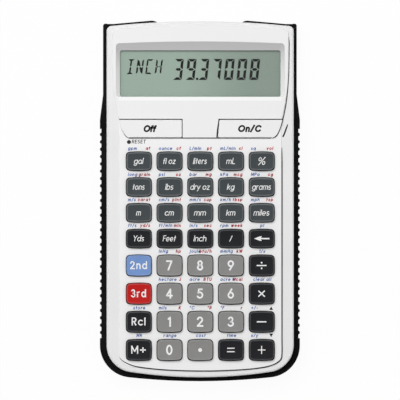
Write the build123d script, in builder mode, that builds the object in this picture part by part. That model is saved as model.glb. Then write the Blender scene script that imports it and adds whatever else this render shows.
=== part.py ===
from build123d import *
import math
import os

os.makedirs("parts", exist_ok=True)

# The calculator lies on its back: X across the face, Y towards the display, Z out of the keys.
# Key grid
column_pitch = 12.11
key_web = 2.01
upper_pitch = 10.16
lower_pitch = 11.09
row_web = 2.55
block_step = 10.6
key_corner = 1.4
key_side_bulge = 0.15
key_end_bulge = 0.38
key_edge_round = 0.5

# Margins of the face round what it carries
bottom_margin = 10.78
function_step = 12.82
window_step = 21.73
top_margin = 20.62
side_margin = 7.585
window_side_margin = 5.2
window_height = 18.3
function_key_height = 6.97
function_key_gap = 14.21

# Face outline
face_top_crown = 2.05
face_bottom_crown = 3.76
face_corner = 10.7
face_top_corner = 2.0
case_wall = 2.0

# Thicknesses, from the cover's underside up to the key tops
cover_floor = 1.4
cover_gap = 0.3
rear_floor = 1.6
board_rise = 3.3
board_thickness = 1.0
web_thickness = 0.7
dome_height = 2.6
key_rest_gap = 0.05
flange_thickness = 0.8
face_wall = 1.4
panel_rise = 0.25
pod_rise = 0.5
key_stand = 1.55
function_key_stand = 0.8

# Slide cover
cover_end_band = 1.62
cover_top_reach = 0.45
cover_side_band = 1.3
cover_grip_band = 2.55
cover_corner = 12.65
cover_bottom_crown = 3.03
lip_thickness = 0.8
lip_depth = 0.8
slide_clearance = 0.25
rear_inset = 0.35

# Fits
key_clearance = 0.15
flange_width = 0.5
seat_gap = 0.1
screw_clearance = 0.05
overrun = 1.0

# Worked out across the face
row_count = 4
key_width = column_pitch - key_web
upper_key_height = upper_pitch - row_web
lower_key_height = lower_pitch - row_web
half_face = 2 * column_pitch + key_width / 2 + side_margin
row_span = (row_count - 1) * (upper_pitch + lower_pitch) + block_step
body_length = bottom_margin + row_span + function_step + window_step + top_margin
face_top = (body_length + cover_end_band - cover_top_reach) / 2
face_bottom = face_top - body_length
last_row = face_bottom + bottom_margin
upper_rows_start = last_row + (row_count - 1) * lower_pitch + block_step
first_row = upper_rows_start + (row_count - 1) * upper_pitch
function_row = first_row + function_step
window_row = function_row + window_step
window_width = 2 * (half_face - window_side_margin)

# Worked out through the thickness
rear_bottom = cover_floor + cover_gap
floor_top = rear_bottom + rear_floor
board_bottom = floor_top + board_rise
board_top = board_bottom + board_thickness
web_top = board_top + web_thickness
dome_top = web_top + dome_height
key_bottom = dome_top + key_rest_gap
flange_top = key_bottom + flange_thickness
wall_under = flange_top + key_rest_gap
face_level = wall_under + face_wall
panel_level = face_level + panel_rise
pod_level = face_level + pod_rise
key_top = panel_level + key_stand
function_key_top = pod_level + function_key_stand
groove_middle = (rear_bottom + key_top) / 2
groove_low = groove_middle - lip_thickness / 2 - slide_clearance
parting = groove_middle + lip_thickness / 2 + slide_clearance
rear_groove_inset = rear_inset + lip_depth

names_by_row = [
    ["gal", "fl_oz", "liters", "ml", "percent"],
    ["tons", "lbs", "dry_oz", "kg", "grams"],
    ["m", "cm", "mm", "km", "miles"],
    ["yds", "feet", "inch", "slash", "back"],
    ["2nd", "7", "8", "9", "divide"],
    ["3rd", "4", "5", "6", "times"],
    ["recall", "1", "2", "3", "minus"],
    ["memory", "0", "point", "equals", "plus"],
]
upper_row_heights = [first_row - upper_pitch * n for n in range(row_count)]
lower_row_heights = [last_row + lower_pitch * n for n in reversed(range(row_count))]
row_heights = upper_row_heights + lower_row_heights
columns = [column_pitch * (n - 2) for n in range(5)]


def face_sketch(level, inset):
    """Face outline: straight sides, gently crowned ends and large lower corners."""
    half = half_face - inset
    top = face_top - inset
    bottom = face_bottom + inset
    with BuildSketch(Plane.XY.offset(level)) as outline:
        with BuildLine():
            ThreePointArc((-half, top - face_top_crown), (0, top), (half, top - face_top_crown))
            Line((half, top - face_top_crown), (half, bottom + face_bottom_crown))
            ThreePointArc(
                (half, bottom + face_bottom_crown), (0, bottom), (-half, bottom + face_bottom_crown)
            )
            Line((-half, bottom + face_bottom_crown), (-half, top - face_top_crown))
        make_face()
        fillet(outline.vertices().group_by(Axis.Y)[-1], max(face_top_corner - inset, seat_gap))
        fillet(outline.vertices().group_by(Axis.Y)[0], face_corner - inset)
    return outline.sketch


def key_sketch(level, height, grow):
    """One key's outline, bowed a little on all four sides; grow widens it for a hole or a flange."""
    half = key_width / 2 + grow
    rise = height / 2 + grow
    side = half - key_side_bulge
    end = rise - key_end_bulge
    with BuildSketch(Plane.XY.offset(level)) as outline:
        with BuildLine():
            ThreePointArc((-side, end), (0, rise), (side, end))
            ThreePointArc((side, end), (half, 0), (side, -end))
            ThreePointArc((side, -end), (0, -rise), (-side, -end))
            ThreePointArc((-side, -end), (-half, 0), (-side, end))
        make_face()
        fillet(outline.vertices(), key_corner + grow)
    return outline.sketch


# The two function keys share a band under the display; their outer ends follow the raised pod.
function_low = function_row - function_key_height / 2
function_high = function_row + function_key_height / 2
function_inner = function_key_gap / 2
function_slant = 0.59
function_shift = 0.165
function_inner_corner = 0.6
pod_waist_inset = 4.69
pod_foot_inset = 8.7
pod_waist = half_face - pod_waist_inset
pod_foot = half_face - pod_foot_inset
pod_foot_reach = 1.1
pod_edge = 0.5


def function_sketch(level, side, grow):
    """Outline of the off key (side -1) or the on key (side 1)."""
    low_inner = function_inner - side * function_shift - grow
    top_inner = low_inner + (function_slant / 2) * (1 + side)
    top = function_high + grow
    low = function_low - grow
    outer = pod_waist - pod_edge + grow
    foot = pod_foot + grow
    bow = (outer + foot) / 2 + pod_foot_reach / 2
    with BuildSketch(Plane.XY.offset(level)) as outline:
        with BuildLine():
            Line((side * top_inner, top), (side * outer, top))
            ThreePointArc((side * outer, top), (side * bow, function_row), (side * foot, low))
            Line((side * foot, low), (side * low_inner, low))
            Line((side * low_inner, low), (side * top_inner, top))
        make_face()
        inner_corners = outline.vertices().sort_by(Axis.X)[::side][:2]
        fillet(inner_corners, max(function_inner_corner + grow, function_inner_corner / 2))
    return outline.sketch


def key_points(heights):
    """Centres of the keys of one block of rows."""
    return [(x, y) for y in heights for x in columns]


# Front case: a shallow shell with a raised display pod and a raised key panel
face_round = 0.8
panel_inset = 4.86
panel_bottom_inset = 2.55
panel_half = half_face - panel_inset
panel_low = face_bottom + panel_bottom_inset
panel_crown = 2.1
panel_corner = 5.0
pod_top_inset = 1.7
pod_top = face_top - pod_top_inset
pod_top_crown = 1.5
pod_shoulder_inset = 2.0
pod_belly_inset = 2.04
pod_bend_inset = 2.58
pod_shoulder = half_face - pod_shoulder_inset
pod_belly = half_face - pod_belly_inset
pod_bend = half_face - pod_bend_inset
pod_low = function_low - pod_edge
panel_bevel = 0.1
pod_bevel = 0.2
bezel_side = 1.65
bezel_top = 3.6
bezel_top_crown = 0.8
bezel_depth = 1.1
bezel_corner = 1.4
window_corner = 0.8
lens_thickness = 0.8
lens_margin = 1.0
reset_inset = 8.76
reset_drop = 1.765
reset_x = reset_inset - half_face
reset_y = function_low - reset_drop
reset_hole_radius = 0.8
boss_inset = 4.15
boss_side = half_face - boss_inset
boss_radius = 1.8
boss_top_inset = 6.5
boss_middle_drop = 20.5
boss_bottom_inset = 17.5
boss_rows = [face_top - boss_top_inset, function_row - boss_middle_drop, face_bottom + boss_bottom_inset]
boss_points = [(side * boss_side, y) for side in (-1, 1) for y in boss_rows]
screw_radius = 0.9
screw_bite = 2.3


def pod_sketch(level):
    """Raised display pod: wide at the window, narrower at the function keys."""
    top = pod_top - pod_top_crown
    waist_row = function_high
    belly_row = top - (top - waist_row) / 3
    foot_bow = (pod_waist + pod_foot) / 2 + pod_foot_reach / 2 + pod_edge
    with BuildSketch(Plane.XY.offset(level)) as outline:
        with BuildLine():
            ThreePointArc((-pod_shoulder, top), (0, pod_top), (pod_shoulder, top))
            for side in (-1, 1):
                Spline(
                    (side * pod_shoulder, top),
                    (side * pod_belly, belly_row),
                    (side * pod_bend, (belly_row + waist_row) / 2),
                    (side * pod_waist, waist_row),
                    (side * foot_bow, function_row),
                    (side * pod_foot, pod_low),
                )
            Line((-pod_foot, pod_low), (pod_foot, pod_low))
        make_face()
        fillet(outline.vertices().group_by(Axis.Y)[-1], face_top_corner)
    return outline.sketch


def window_sketch(level, side, top, crown, corner):
    """Window outline widened by side and top, with a crowned upper edge."""
    half = window_width / 2 + side
    low = window_row - window_height / 2
    high = window_row + window_height / 2 + top
    with BuildSketch(Plane.XY.offset(level)) as outline:
        with BuildLine():
            ThreePointArc((-half, high - crown), (0, high), (half, high - crown))
            Line((half, high - crown), (half, low))
            Line((half, low), (-half, low))
            Line((-half, low), (-half, high - crown))
        make_face()
        fillet(outline.vertices(), corner)
    return outline.sketch


with BuildPart() as front_case:
    extrude(face_sketch(parting, 0), amount=face_level - parting)
    fillet(front_case.edges().group_by(Axis.Z)[-1], face_round)
    with BuildSketch(Plane.XY.offset(face_level)) as panel_outline:
        with BuildLine():
            Line((-panel_half, function_high), (panel_half, function_high))
            Line((panel_half, function_high), (panel_half, panel_low + panel_crown))
            ThreePointArc(
                (panel_half, panel_low + panel_crown), (0, panel_low), (-panel_half, panel_low + panel_crown)
            )
            Line((-panel_half, panel_low + panel_crown), (-panel_half, function_high))
        make_face()
        fillet(panel_outline.vertices().group_by(Axis.Y)[0], panel_corner)
    extrude(amount=panel_rise)
    chamfer(front_case.edges().group_by(Axis.Z)[-1], panel_bevel)
    extrude(pod_sketch(face_level), amount=pod_rise)
    chamfer(front_case.edges().group_by(Axis.Z)[-1], pod_bevel)
    extrude(face_sketch(parting, case_wall), amount=wall_under - parting, mode=Mode.SUBTRACT)
    with BuildSketch(Plane.XY.offset(parting)):
        with Locations(*boss_points):
            Circle(boss_radius)
    extrude(amount=wall_under - parting)
    with BuildSketch(Plane.XY.offset(parting)):
        with Locations(*boss_points):
            Circle(screw_radius + screw_clearance)
    extrude(amount=screw_bite + seat_gap, mode=Mode.SUBTRACT)
    for heights, height in ((upper_row_heights, upper_key_height), (lower_row_heights, lower_key_height)):
        with BuildSketch(Plane.XY.offset(wall_under - overrun)):
            with Locations(*key_points(heights)):
                add(key_sketch(0, height, key_clearance))
        extrude(amount=key_top - wall_under + overrun, mode=Mode.SUBTRACT)
    for side in (-1, 1):
        extrude(
            function_sketch(wall_under - overrun, side, key_clearance),
            amount=key_top - wall_under + overrun,
            mode=Mode.SUBTRACT,
        )
    with BuildSketch(Plane.XY.offset(wall_under - overrun)):
        with Locations((reset_x, reset_y)):
            Circle(reset_hole_radius)
    extrude(amount=key_top - wall_under + overrun, mode=Mode.SUBTRACT)
    loft(
        [
            window_sketch(pod_level - bezel_depth, 0, 0, seat_gap, window_corner),
            window_sketch(pod_level, bezel_side, bezel_top, bezel_top_crown, bezel_corner),
        ],
        mode=Mode.SUBTRACT,
    )
    with BuildSketch(Plane.XY.offset(wall_under - overrun)):
        with Locations((0, window_row)):
            RectangleRounded(window_width, window_height, window_corner)
    extrude(amount=pod_level - wall_under, mode=Mode.SUBTRACT)
    with BuildSketch(Plane.XY.offset(wall_under)):
        with Locations((0, window_row)):
            Rectangle(window_width + 2 * lens_margin, window_height + 2 * lens_margin)
    extrude(amount=lens_thickness, mode=Mode.SUBTRACT)
front_case.part.label = "front_case"
export_step(front_case.part, "parts/front_case.step")

# Clear lens, bonded into its pocket from behind
with BuildPart() as display_window:
    with BuildSketch(Plane.XY.offset(wall_under)):
        with Locations((0, window_row)):
            Rectangle(
                window_width + 2 * (lens_margin - seat_gap), window_height + 2 * (lens_margin - seat_gap)
            )
    extrude(amount=lens_thickness)
display_window.part.label = "display_window"
export_step(display_window.part, "parts/display_window.step")

# Rear case: floor, walls with the cover's groove, bosses, board posts and the cell well
rear_round = 1.2
rear_boss_radius = 1.85
head_radius = 1.6
head_height = 0.9
head_seat = 1.3
head_clearance = 0.2
shank_clearance = 0.15
post_radius = 1.5
post_inset = 12.8
post_side = half_face - post_inset
post_top_step = 8.0
post_middle_step = 22.5
post_lower_step = 29.0
post_bottom_step = 4.0
post_rows = [
    window_row + post_top_step,
    function_row - post_middle_step,
    last_row + post_lower_step,
    last_row + post_bottom_step,
]
post_points = [(side * post_side, y) for side in (-1, 1) for y in post_rows]
cell_radius = 10.0
cell_thickness = 1.6
cell_clearance = 0.3
cell_wall = 1.2
cell_drop = 2.0
cell_row = window_row - cell_drop
cell_bottom = floor_top + seat_gap
cell_top = cell_bottom + cell_thickness
well_rise = 2.2
door_corner = 1.5
door_thickness = 1.0
door_clearance = 0.2
door_side_margin = 2.2
door_end_margin = 2.1
door_screw_step = 3.1
door_screw_reach = cell_radius + cell_clearance + door_screw_step
door_length = 2 * (door_screw_reach + door_end_margin)
door_height = 2 * (cell_radius + cell_clearance + door_side_margin)
door_screw_radius = 0.7
door_head_radius = 1.2
door_head_height = 0.45
door_screw_bite = 2.0
door_boss_radius = 1.6
door_screw_points = [(-door_screw_reach, cell_row), (door_screw_reach, cell_row)]

with BuildPart() as rear_case:
    extrude(face_sketch(rear_bottom, rear_inset), amount=groove_low - rear_bottom)
    fillet(rear_case.edges().group_by(Axis.Z)[0], rear_round)
    extrude(face_sketch(groove_low, rear_groove_inset), amount=parting - groove_low)
    extrude(face_sketch(floor_top, case_wall + rear_inset), amount=parting - floor_top, mode=Mode.SUBTRACT)
    with BuildSketch(Plane.XY.offset(floor_top)):
        with Locations(*boss_points):
            Circle(rear_boss_radius)
    extrude(amount=parting - floor_top)
    with BuildSketch(Plane.XY.offset(floor_top)):
        with Locations(*post_points):
            Circle(post_radius)
    extrude(amount=board_rise)
    with BuildSketch(Plane.XY.offset(floor_top)):
        with Locations((0, cell_row)):
            Circle(cell_radius + cell_clearance + cell_wall)
    extrude(amount=well_rise)
    with BuildSketch(Plane.XY.offset(floor_top)):
        with Locations(*door_screw_points):
            Circle(door_boss_radius)
    extrude(amount=door_screw_bite)
    with BuildSketch(Plane.XY.offset(rear_bottom)):
        with Locations((0, cell_row)):
            Circle(cell_radius + cell_clearance)
    extrude(amount=rear_floor + well_rise, mode=Mode.SUBTRACT)
    with BuildSketch(Plane.XY.offset(rear_bottom)):
        with Locations((0, cell_row)):
            RectangleRounded(door_length, door_height, door_corner)
    extrude(amount=door_thickness, mode=Mode.SUBTRACT)
    with BuildSketch(Plane.XY.offset(rear_bottom)):
        with Locations(*door_screw_points):
            Circle(door_screw_radius + screw_clearance)
    extrude(amount=rear_floor + door_screw_bite - door_thickness / 2, mode=Mode.SUBTRACT)
    with BuildSketch(Plane.XY.offset(rear_bottom)):
        with Locations(*boss_points):
            Circle(head_radius + head_clearance)
    extrude(amount=head_seat, mode=Mode.SUBTRACT)
    with BuildSketch(Plane.XY.offset(rear_bottom)):
        with Locations(*boss_points):
            Circle(screw_radius + shank_clearance)
    extrude(amount=parting - rear_bottom, mode=Mode.SUBTRACT)
rear_case.part.label = "rear_case"
export_step(rear_case.part, "parts/rear_case.step")

# Case screws: pan heads with a cross recess, one node for the six
cross_width = 0.4
cross_length = 1.9
cross_depth = 0.45

with BuildPart() as case_screws:
    head_low = rear_bottom + head_seat - head_height
    with BuildSketch(Plane.XY.offset(head_low)):
        with Locations(*boss_points):
            Circle(head_radius)
    extrude(amount=head_height)
    with BuildSketch(Plane.XY.offset(rear_bottom + head_seat)):
        with Locations(*boss_points):
            Circle(screw_radius)
    extrude(amount=parting + screw_bite - rear_bottom - head_seat)
    chamfer(case_screws.edges().group_by(Axis.Z)[0], cross_depth / 2)
    with BuildSketch(Plane.XY.offset(head_low)):
        with Locations(*boss_points):
            Rectangle(cross_length, cross_width)
            Rectangle(cross_width, cross_length)
    extrude(amount=cross_depth, mode=Mode.SUBTRACT)
case_screws.part.label = "case_screws"
export_step(case_screws.part, "parts/case_screws.step")

# Battery door with a pad that lifts the cell, a finger ridge and two screw seats
pad_inset = 1.0
pad_radius = cell_radius - pad_inset
door_ridge_length = 12.0
door_ridge_width = 0.6
door_ridge_depth = 0.25
door_ridge_pitch = 1.5

with BuildPart() as battery_door:
    with BuildSketch(Plane.XY.offset(rear_bottom)):
        with Locations((0, cell_row)):
            RectangleRounded(
                door_length - 2 * door_clearance,
                door_height - 2 * door_clearance,
                door_corner - door_clearance,
            )
    extrude(amount=door_thickness)
    with BuildSketch(Plane.XY.offset(rear_bottom + door_thickness)):
        with Locations((0, cell_row)):
            Circle(pad_radius)
    extrude(amount=cell_bottom - rear_bottom - door_thickness)
    with BuildSketch(Plane.XY.offset(rear_bottom)):
        with Locations(*door_screw_points):
            Circle(door_head_radius + head_clearance)
    extrude(amount=door_head_height, mode=Mode.SUBTRACT)
    with BuildSketch(Plane.XY.offset(rear_bottom)):
        with Locations(*door_screw_points):
            Circle(door_screw_radius + shank_clearance)
    extrude(amount=door_thickness, mode=Mode.SUBTRACT)
    with BuildSketch(Plane.XY.offset(rear_bottom)):
        with Locations(*[(0, cell_row + door_ridge_pitch * (n - 2)) for n in range(5)]):
            Rectangle(door_ridge_length, door_ridge_width)
    extrude(amount=door_ridge_depth, mode=Mode.SUBTRACT)
battery_door.part.label = "battery_door"
export_step(battery_door.part, "parts/battery_door.step")

with BuildPart() as battery_door_screws:
    with BuildSketch(Plane.XY.offset(rear_bottom)):
        with Locations(*door_screw_points):
            Circle(door_head_radius)
    extrude(amount=door_head_height)
    with BuildSketch(Plane.XY.offset(rear_bottom + door_head_height)):
        with Locations(*door_screw_points):
            Circle(door_screw_radius)
    extrude(amount=rear_floor - door_head_height + door_screw_bite - door_thickness)
    with BuildSketch(Plane.XY.offset(rear_bottom)):
        with Locations(*door_screw_points):
            Rectangle(door_head_radius, cross_width)
            Rectangle(cross_width, door_head_radius)
    extrude(amount=door_head_height / 2, mode=Mode.SUBTRACT)
battery_door_screws.part.label = "battery_door_screws"
export_step(battery_door_screws.part, "parts/battery_door_screws.step")

# Coin cell: a wide can with the smaller terminal face up
can_lip = 0.35
cell_edge = 1.1

with BuildPart() as coin_cell:
    with BuildSketch(Plane.XY.offset(cell_bottom)):
        with Locations((0, cell_row)):
            Circle(cell_radius)
    extrude(amount=cell_thickness - can_lip)
    with BuildSketch(Plane.XY.offset(cell_top - can_lip)):
        with Locations((0, cell_row)):
            Circle(cell_radius - cell_edge)
    extrude(amount=can_lip)
coin_cell.part.label = "coin_cell"
export_step(coin_cell.part, "parts/coin_cell.step")

# Contacts: a leaf that presses on the cell's top and a blade that touches its side
strip_thickness = 0.2
leaf_width = 3.0
leaf_foot = 3.0
leaf_run = 5.0
leaf_tip = 2.0
leaf_start = -7.0
blade_angle = 40
blade_foot = 2.2

with BuildPart() as battery_spring_negative:
    with BuildSketch(Plane.XZ.offset(-cell_row - leaf_width / 2)):
        with BuildLine():
            Polyline(
                (leaf_start, board_bottom),
                (leaf_start + leaf_foot, board_bottom),
                (leaf_start + leaf_foot + leaf_run, cell_top + strip_thickness),
                (leaf_start + leaf_foot + leaf_run + leaf_tip, cell_top + strip_thickness),
                (leaf_start + leaf_foot + leaf_run + leaf_tip, cell_top),
                (leaf_start + leaf_foot + leaf_run - strip_thickness / 4, cell_top),
                (leaf_start + leaf_foot - strip_thickness / 4, board_bottom - strip_thickness),
                (leaf_start, board_bottom - strip_thickness),
                close=True,
            )
        make_face()
    extrude(amount=leaf_width)
battery_spring_negative.part.label = "battery_spring_negative"
export_step(battery_spring_negative.part, "parts/battery_spring_negative.step")

with BuildPart() as battery_clip_positive:
    blade_inner = cell_radius + screw_clearance
    with BuildSketch(Plane.XY.offset(cell_bottom + cell_thickness / 4)):
        with Locations((0, cell_row)):
            Circle(blade_inner + strip_thickness)
            Circle(blade_inner, mode=Mode.SUBTRACT)
    extrude(amount=board_bottom - cell_bottom - cell_thickness / 4)
    with BuildSketch(Plane.XY.offset(board_bottom - strip_thickness)):
        with Locations((0, cell_row)):
            Circle(blade_inner + blade_foot)
            Circle(blade_inner, mode=Mode.SUBTRACT)
    extrude(amount=strip_thickness)
    with BuildSketch(Plane.XY.offset(cell_bottom)):
        with BuildLine():
            reach = 2 * cell_radius
            lean = reach * math.tan(math.radians(blade_angle / 2))
            Polyline((0, cell_row), (-lean, cell_row - reach), (lean, cell_row - reach), close=True)
        make_face()
    extrude(amount=board_bottom - cell_bottom, mode=Mode.INTERSECT)
battery_clip_positive.part.label = "battery_clip_positive"
export_step(battery_clip_positive.part, "parts/battery_clip_positive.step")

# Circuit board, clear of the screw bosses, down to the lowest row of keys
board_boss_gap = 0.4
board_end_inset = 4.4
board_window_reach = 2.4
board_half = boss_side - rear_boss_radius - board_boss_gap
board_low = face_bottom + board_end_inset
board_high = window_row + window_height / 2 + board_window_reach
board_corner = 6.0
board_top_corner = 2.0

with BuildPart() as circuit_board:
    with BuildSketch(Plane.XY.offset(board_bottom)) as board_outline:
        with Locations((0, (board_low + board_high) / 2)):
            Rectangle(2 * board_half, board_high - board_low)
        fillet(board_outline.vertices().group_by(Axis.Y)[0], board_corner)
        fillet(board_outline.vertices().group_by(Axis.Y)[-1], board_top_corner)
    extrude(amount=board_thickness)
circuit_board.part.label = "circuit_board"
export_step(circuit_board.part, "parts/circuit_board.step")

# Processor under a drop of black epoxy, on the board's rear side
blob_radius = 6.0
blob_height = 1.4
blob_drop = 32.0
blob_row = function_row - blob_drop

with BuildPart() as processor_blob:
    with BuildSketch(Plane.XZ.offset(-blob_row)) as blob_profile:
        with BuildLine():
            blob_sphere = (blob_radius**2 + blob_height**2) / (2 * blob_height)
            blob_side = blob_sphere * math.sin(math.asin(blob_radius / blob_sphere) / 2)
            blob_sag = blob_sphere - math.sqrt(blob_sphere**2 - blob_side**2)
            Line((0, board_bottom - blob_height), (0, board_bottom))
            Line((0, board_bottom), (blob_radius, board_bottom))
            ThreePointArc(
                (blob_radius, board_bottom),
                (blob_side, board_bottom - blob_height + blob_sag),
                (0, board_bottom - blob_height),
            )
        make_face()
    revolve(axis=Axis((0, blob_row, 0), (0, 0, 1)))
processor_blob.part.label = "processor_blob"
export_step(processor_blob.part, "parts/processor_blob.step")

# Small parts soldered to the rear side: a crystal, two capacitors and six chip resistors
crystal_size = (8.0, 3.0, 2.4)
capacitor_radius = 2.0
capacitor_height = 2.2
chip_size = (2.0, 1.25, 0.6)
chip_pitch = 3.2
parts_step = 12.0
parts_row = blob_row + parts_step

with BuildPart() as board_components:
    with BuildSketch(Plane.XY.offset(board_bottom - crystal_size[2])):
        with Locations((0, parts_row)):
            SlotOverall(crystal_size[0], crystal_size[1])
    extrude(amount=crystal_size[2])
    with BuildSketch(Plane.XY.offset(board_bottom - capacitor_height)):
        with Locations((-crystal_size[0], parts_row), (crystal_size[0], parts_row)):
            Circle(capacitor_radius)
    extrude(amount=capacitor_height)
    with BuildSketch(Plane.XY.offset(board_bottom - chip_size[2])):
        with Locations((0, parts_row + crystal_size[1] + chip_size[1])):
            with GridLocations(chip_pitch, 0, 6, 1):
                Rectangle(chip_size[0], chip_size[1])
    extrude(amount=chip_size[2])
board_components.part.label = "board_components"
export_step(board_components.part, "parts/board_components.step")

# Display: two glass plates, the carrier behind them and the contact strip at the lower ledge
plate_thickness = 1.0
plate_margin = 1.4
plate_top_margin = 2.0
ledge = 2.7
strip_margin = 2.0
strip_width = 2.0
plate_top = wall_under - seat_gap
glass_bottom = plate_top - 2 * plate_thickness
glass_half = window_width / 2 + plate_margin
glass_high = window_row + window_height / 2 + plate_top_margin
glass_low = window_row - window_height / 2 - plate_margin

with BuildPart() as lcd_glass:
    with BuildSketch(Plane.XY.offset(plate_top - plate_thickness)):
        with Locations((0, (glass_high + glass_low - ledge) / 2)):
            Rectangle(2 * glass_half, glass_high - glass_low + ledge)
    extrude(amount=plate_thickness)
    with BuildSketch(Plane.XY.offset(glass_bottom)):
        with Locations((0, (glass_high + glass_low) / 2)):
            Rectangle(2 * glass_half, glass_high - glass_low)
    extrude(amount=plate_thickness)
lcd_glass.part.label = "lcd_glass"
export_step(lcd_glass.part, "parts/lcd_glass.step")

with BuildPart() as lcd_carrier:
    with BuildSketch(Plane.XY.offset(board_top)):
        with Locations((0, (glass_high + glass_low) / 2)):
            Rectangle(2 * glass_half, glass_high - glass_low)
    extrude(amount=glass_bottom - board_top)
    with BuildSketch(Plane.XY.offset(board_top)):
        with Locations((0, (glass_high + glass_low) / 2)):
            Rectangle(2 * (glass_half - strip_margin), glass_high - glass_low - 2 * strip_margin)
    extrude(amount=glass_bottom - board_top - web_thickness, mode=Mode.SUBTRACT)
lcd_carrier.part.label = "lcd_carrier"
export_step(lcd_carrier.part, "parts/lcd_carrier.step")

with BuildPart() as zebra_strip:
    with BuildSketch(Plane.XY.offset(board_top)):
        with Locations((0, glass_low - ledge / 2)):
            Rectangle(2 * (board_half - strip_margin), strip_width)
    extrude(amount=plate_top - plate_thickness - board_top)
zebra_strip.part.label = "zebra_strip"
export_step(zebra_strip.part, "parts/zebra_strip.step")

# Rubber sheet with one collapsing dome and contact pill under each key
dome_base = 3.3
dome_crest = 1.9
dome_wall = 0.55
pill_radius = 1.0
pill_depth = 0.9
sheet_inset = 0.2
sheet_top_reach = 3.3
sheet_half = board_half - sheet_inset
sheet_low = board_low + sheet_inset
sheet_high = function_high + sheet_top_reach
function_dome_x = (function_inner + pod_waist) / 2
function_dome_points = [(-function_dome_x, function_row), (function_dome_x, function_row)]
reset_dome_base = 1.9
reset_dome_crest = 1.1
dome_points = key_points(row_heights) + function_dome_points

with BuildPart() as dome_sheet:
    with BuildSketch(Plane.XY.offset(board_top)) as sheet_outline:
        with Locations((0, (sheet_low + sheet_high) / 2)):
            Rectangle(2 * sheet_half, sheet_high - sheet_low)
        fillet(sheet_outline.vertices().group_by(Axis.Y)[0], board_corner)
    extrude(amount=web_thickness)
    with Locations(*[(x, y, web_top + dome_height / 2) for x, y in dome_points]):
        Cone(dome_base, dome_crest, dome_height)
    hollow_middle = board_top + (dome_height + web_thickness) / 2 - dome_wall
    with Locations(*[(x, y, hollow_middle) for x, y in dome_points]):
        Cone(
            dome_base - dome_wall / 2,
            dome_crest - dome_wall,
            dome_height + web_thickness,
            mode=Mode.SUBTRACT,
        )
    with Locations(*[(x, y, dome_top - dome_wall - pill_depth / 2) for x, y in dome_points]):
        Cylinder(pill_radius, pill_depth)
    with Locations((reset_x, reset_y, web_top + dome_height / 2)):
        Cone(reset_dome_base, reset_dome_crest, dome_height)
dome_sheet.part.label = "dome_sheet"
export_step(dome_sheet.part, "parts/dome_sheet.step")

# Reset plunger, reached with a pin through its small hole
reset_stem = reset_hole_radius - key_clearance
reset_flange = 1.3
reset_sink = 0.9

with BuildPart() as reset_button:
    with BuildSketch(Plane.XY.offset(key_bottom)):
        with Locations((reset_x, reset_y)):
            Circle(reset_flange)
    extrude(amount=flange_thickness)
    with BuildSketch(Plane.XY.offset(flange_top)):
        with Locations((reset_x, reset_y)):
            Circle(reset_stem)
    extrude(amount=panel_level - reset_sink - flange_top)
reset_button.part.label = "reset_button"
export_step(reset_button.part, "parts/reset_button.step")

# Keys: hollow caps with a flange that stops under the face and a post on the dome
cap_wall = 1.0
cap_roof = 1.3
key_post_radius = 1.5

blocks = [
    (names_by_row[:row_count], upper_row_heights, upper_key_height),
    (names_by_row[row_count:], lower_row_heights, lower_key_height),
]

for block_names, heights, key_height in blocks:
    with BuildPart() as cap:
        extrude(key_sketch(key_bottom, key_height, flange_width), amount=flange_thickness)
        extrude(key_sketch(key_bottom, key_height, 0), amount=key_top - key_bottom)
        fillet(cap.faces().sort_by(Axis.Z)[-1].edges(), key_edge_round)
        extrude(
            key_sketch(key_bottom, key_height, -cap_wall),
            amount=key_top - cap_roof - key_bottom,
            mode=Mode.SUBTRACT,
        )
        with BuildSketch(Plane.XY.offset(key_bottom)):
            Circle(key_post_radius)
        extrude(amount=key_top - cap_roof - key_bottom)
    for row_names, row_height in zip(block_names, heights):
        for word, column in zip(row_names, columns):
            with BuildPart() as key:
                with Locations((column, row_height, 0)):
                    add(cap.part)
            key.part.label = f"key_{word}"
            export_step(key.part, f"parts/key_{word}.step")

# Function keys: wide caps held by a bar-shaped flange above the reset hole
bar_drop = 1.6
bar_low = function_row - bar_drop
bar_high = function_high + flange_width
function_round = 0.3

for word, side in (("off", -1), ("on", 1)):
    with BuildPart() as function_key:
        extrude(function_sketch(key_bottom, side, 0), amount=function_key_top - key_bottom)
        fillet(function_key.faces().sort_by(Axis.Z)[-1].edges(), function_round)
        bar_inner = function_inner - flange_width
        bar_outer = pod_waist - pod_edge + flange_width
        with BuildSketch(Plane.XY.offset(key_bottom)):
            with Locations((side * (bar_inner + bar_outer) / 2, (bar_low + bar_high) / 2)):
                Rectangle(bar_outer - bar_inner, bar_high - bar_low)
        extrude(amount=flange_thickness)
        extrude(
            function_sketch(key_bottom, side, -cap_wall),
            amount=function_key_top - cap_roof - key_bottom,
            mode=Mode.SUBTRACT,
        )
        with BuildSketch(Plane.XY.offset(key_bottom)):
            with Locations((side * function_dome_x, function_row)):
                Circle(key_post_radius)
        extrude(amount=function_key_top - cap_roof - key_bottom)
    function_key.part.label = f"key_{word}"
    export_step(function_key.part, f"parts/key_{word}.step")

# Slide cover: a tray with ribbed grips, lips that run in the body's groove and a thumb notch
flare_length = 10.15
flare_high = function_high + flare_length
flare_low = function_high
cover_half = half_face + cover_side_band
grip_half = half_face + cover_grip_band
cover_low = face_bottom - cover_end_band
cover_peak = face_top + cover_top_reach
cover_top_corner = 0.8
shoulder_inset = 4.1
shoulder_drop = 1.33
shoulder_side = cover_half - shoulder_inset
shoulder_row = cover_peak - shoulder_drop
cover_wall_top = parting - slide_clearance / 2
grip_depth = 0.58
grip_bottom_rise = 4.52
grip_high = function_row
grip_low = last_row + grip_bottom_rise
rib_count = 28
rib_end_gap = 2.24
rib_radius = 0.78
rib_first = grip_high - rib_end_gap
rib_pitch = (grip_high - grip_low - 2 * rib_end_gap) / (rib_count - 1)
cover_round = 1.4
lip_bottom_inset = 14.5
lip_top_inset = 4.2
lip_low = face_bottom + lip_bottom_inset
lip_high = face_top - lip_top_inset
notch_half = 19.0
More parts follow.
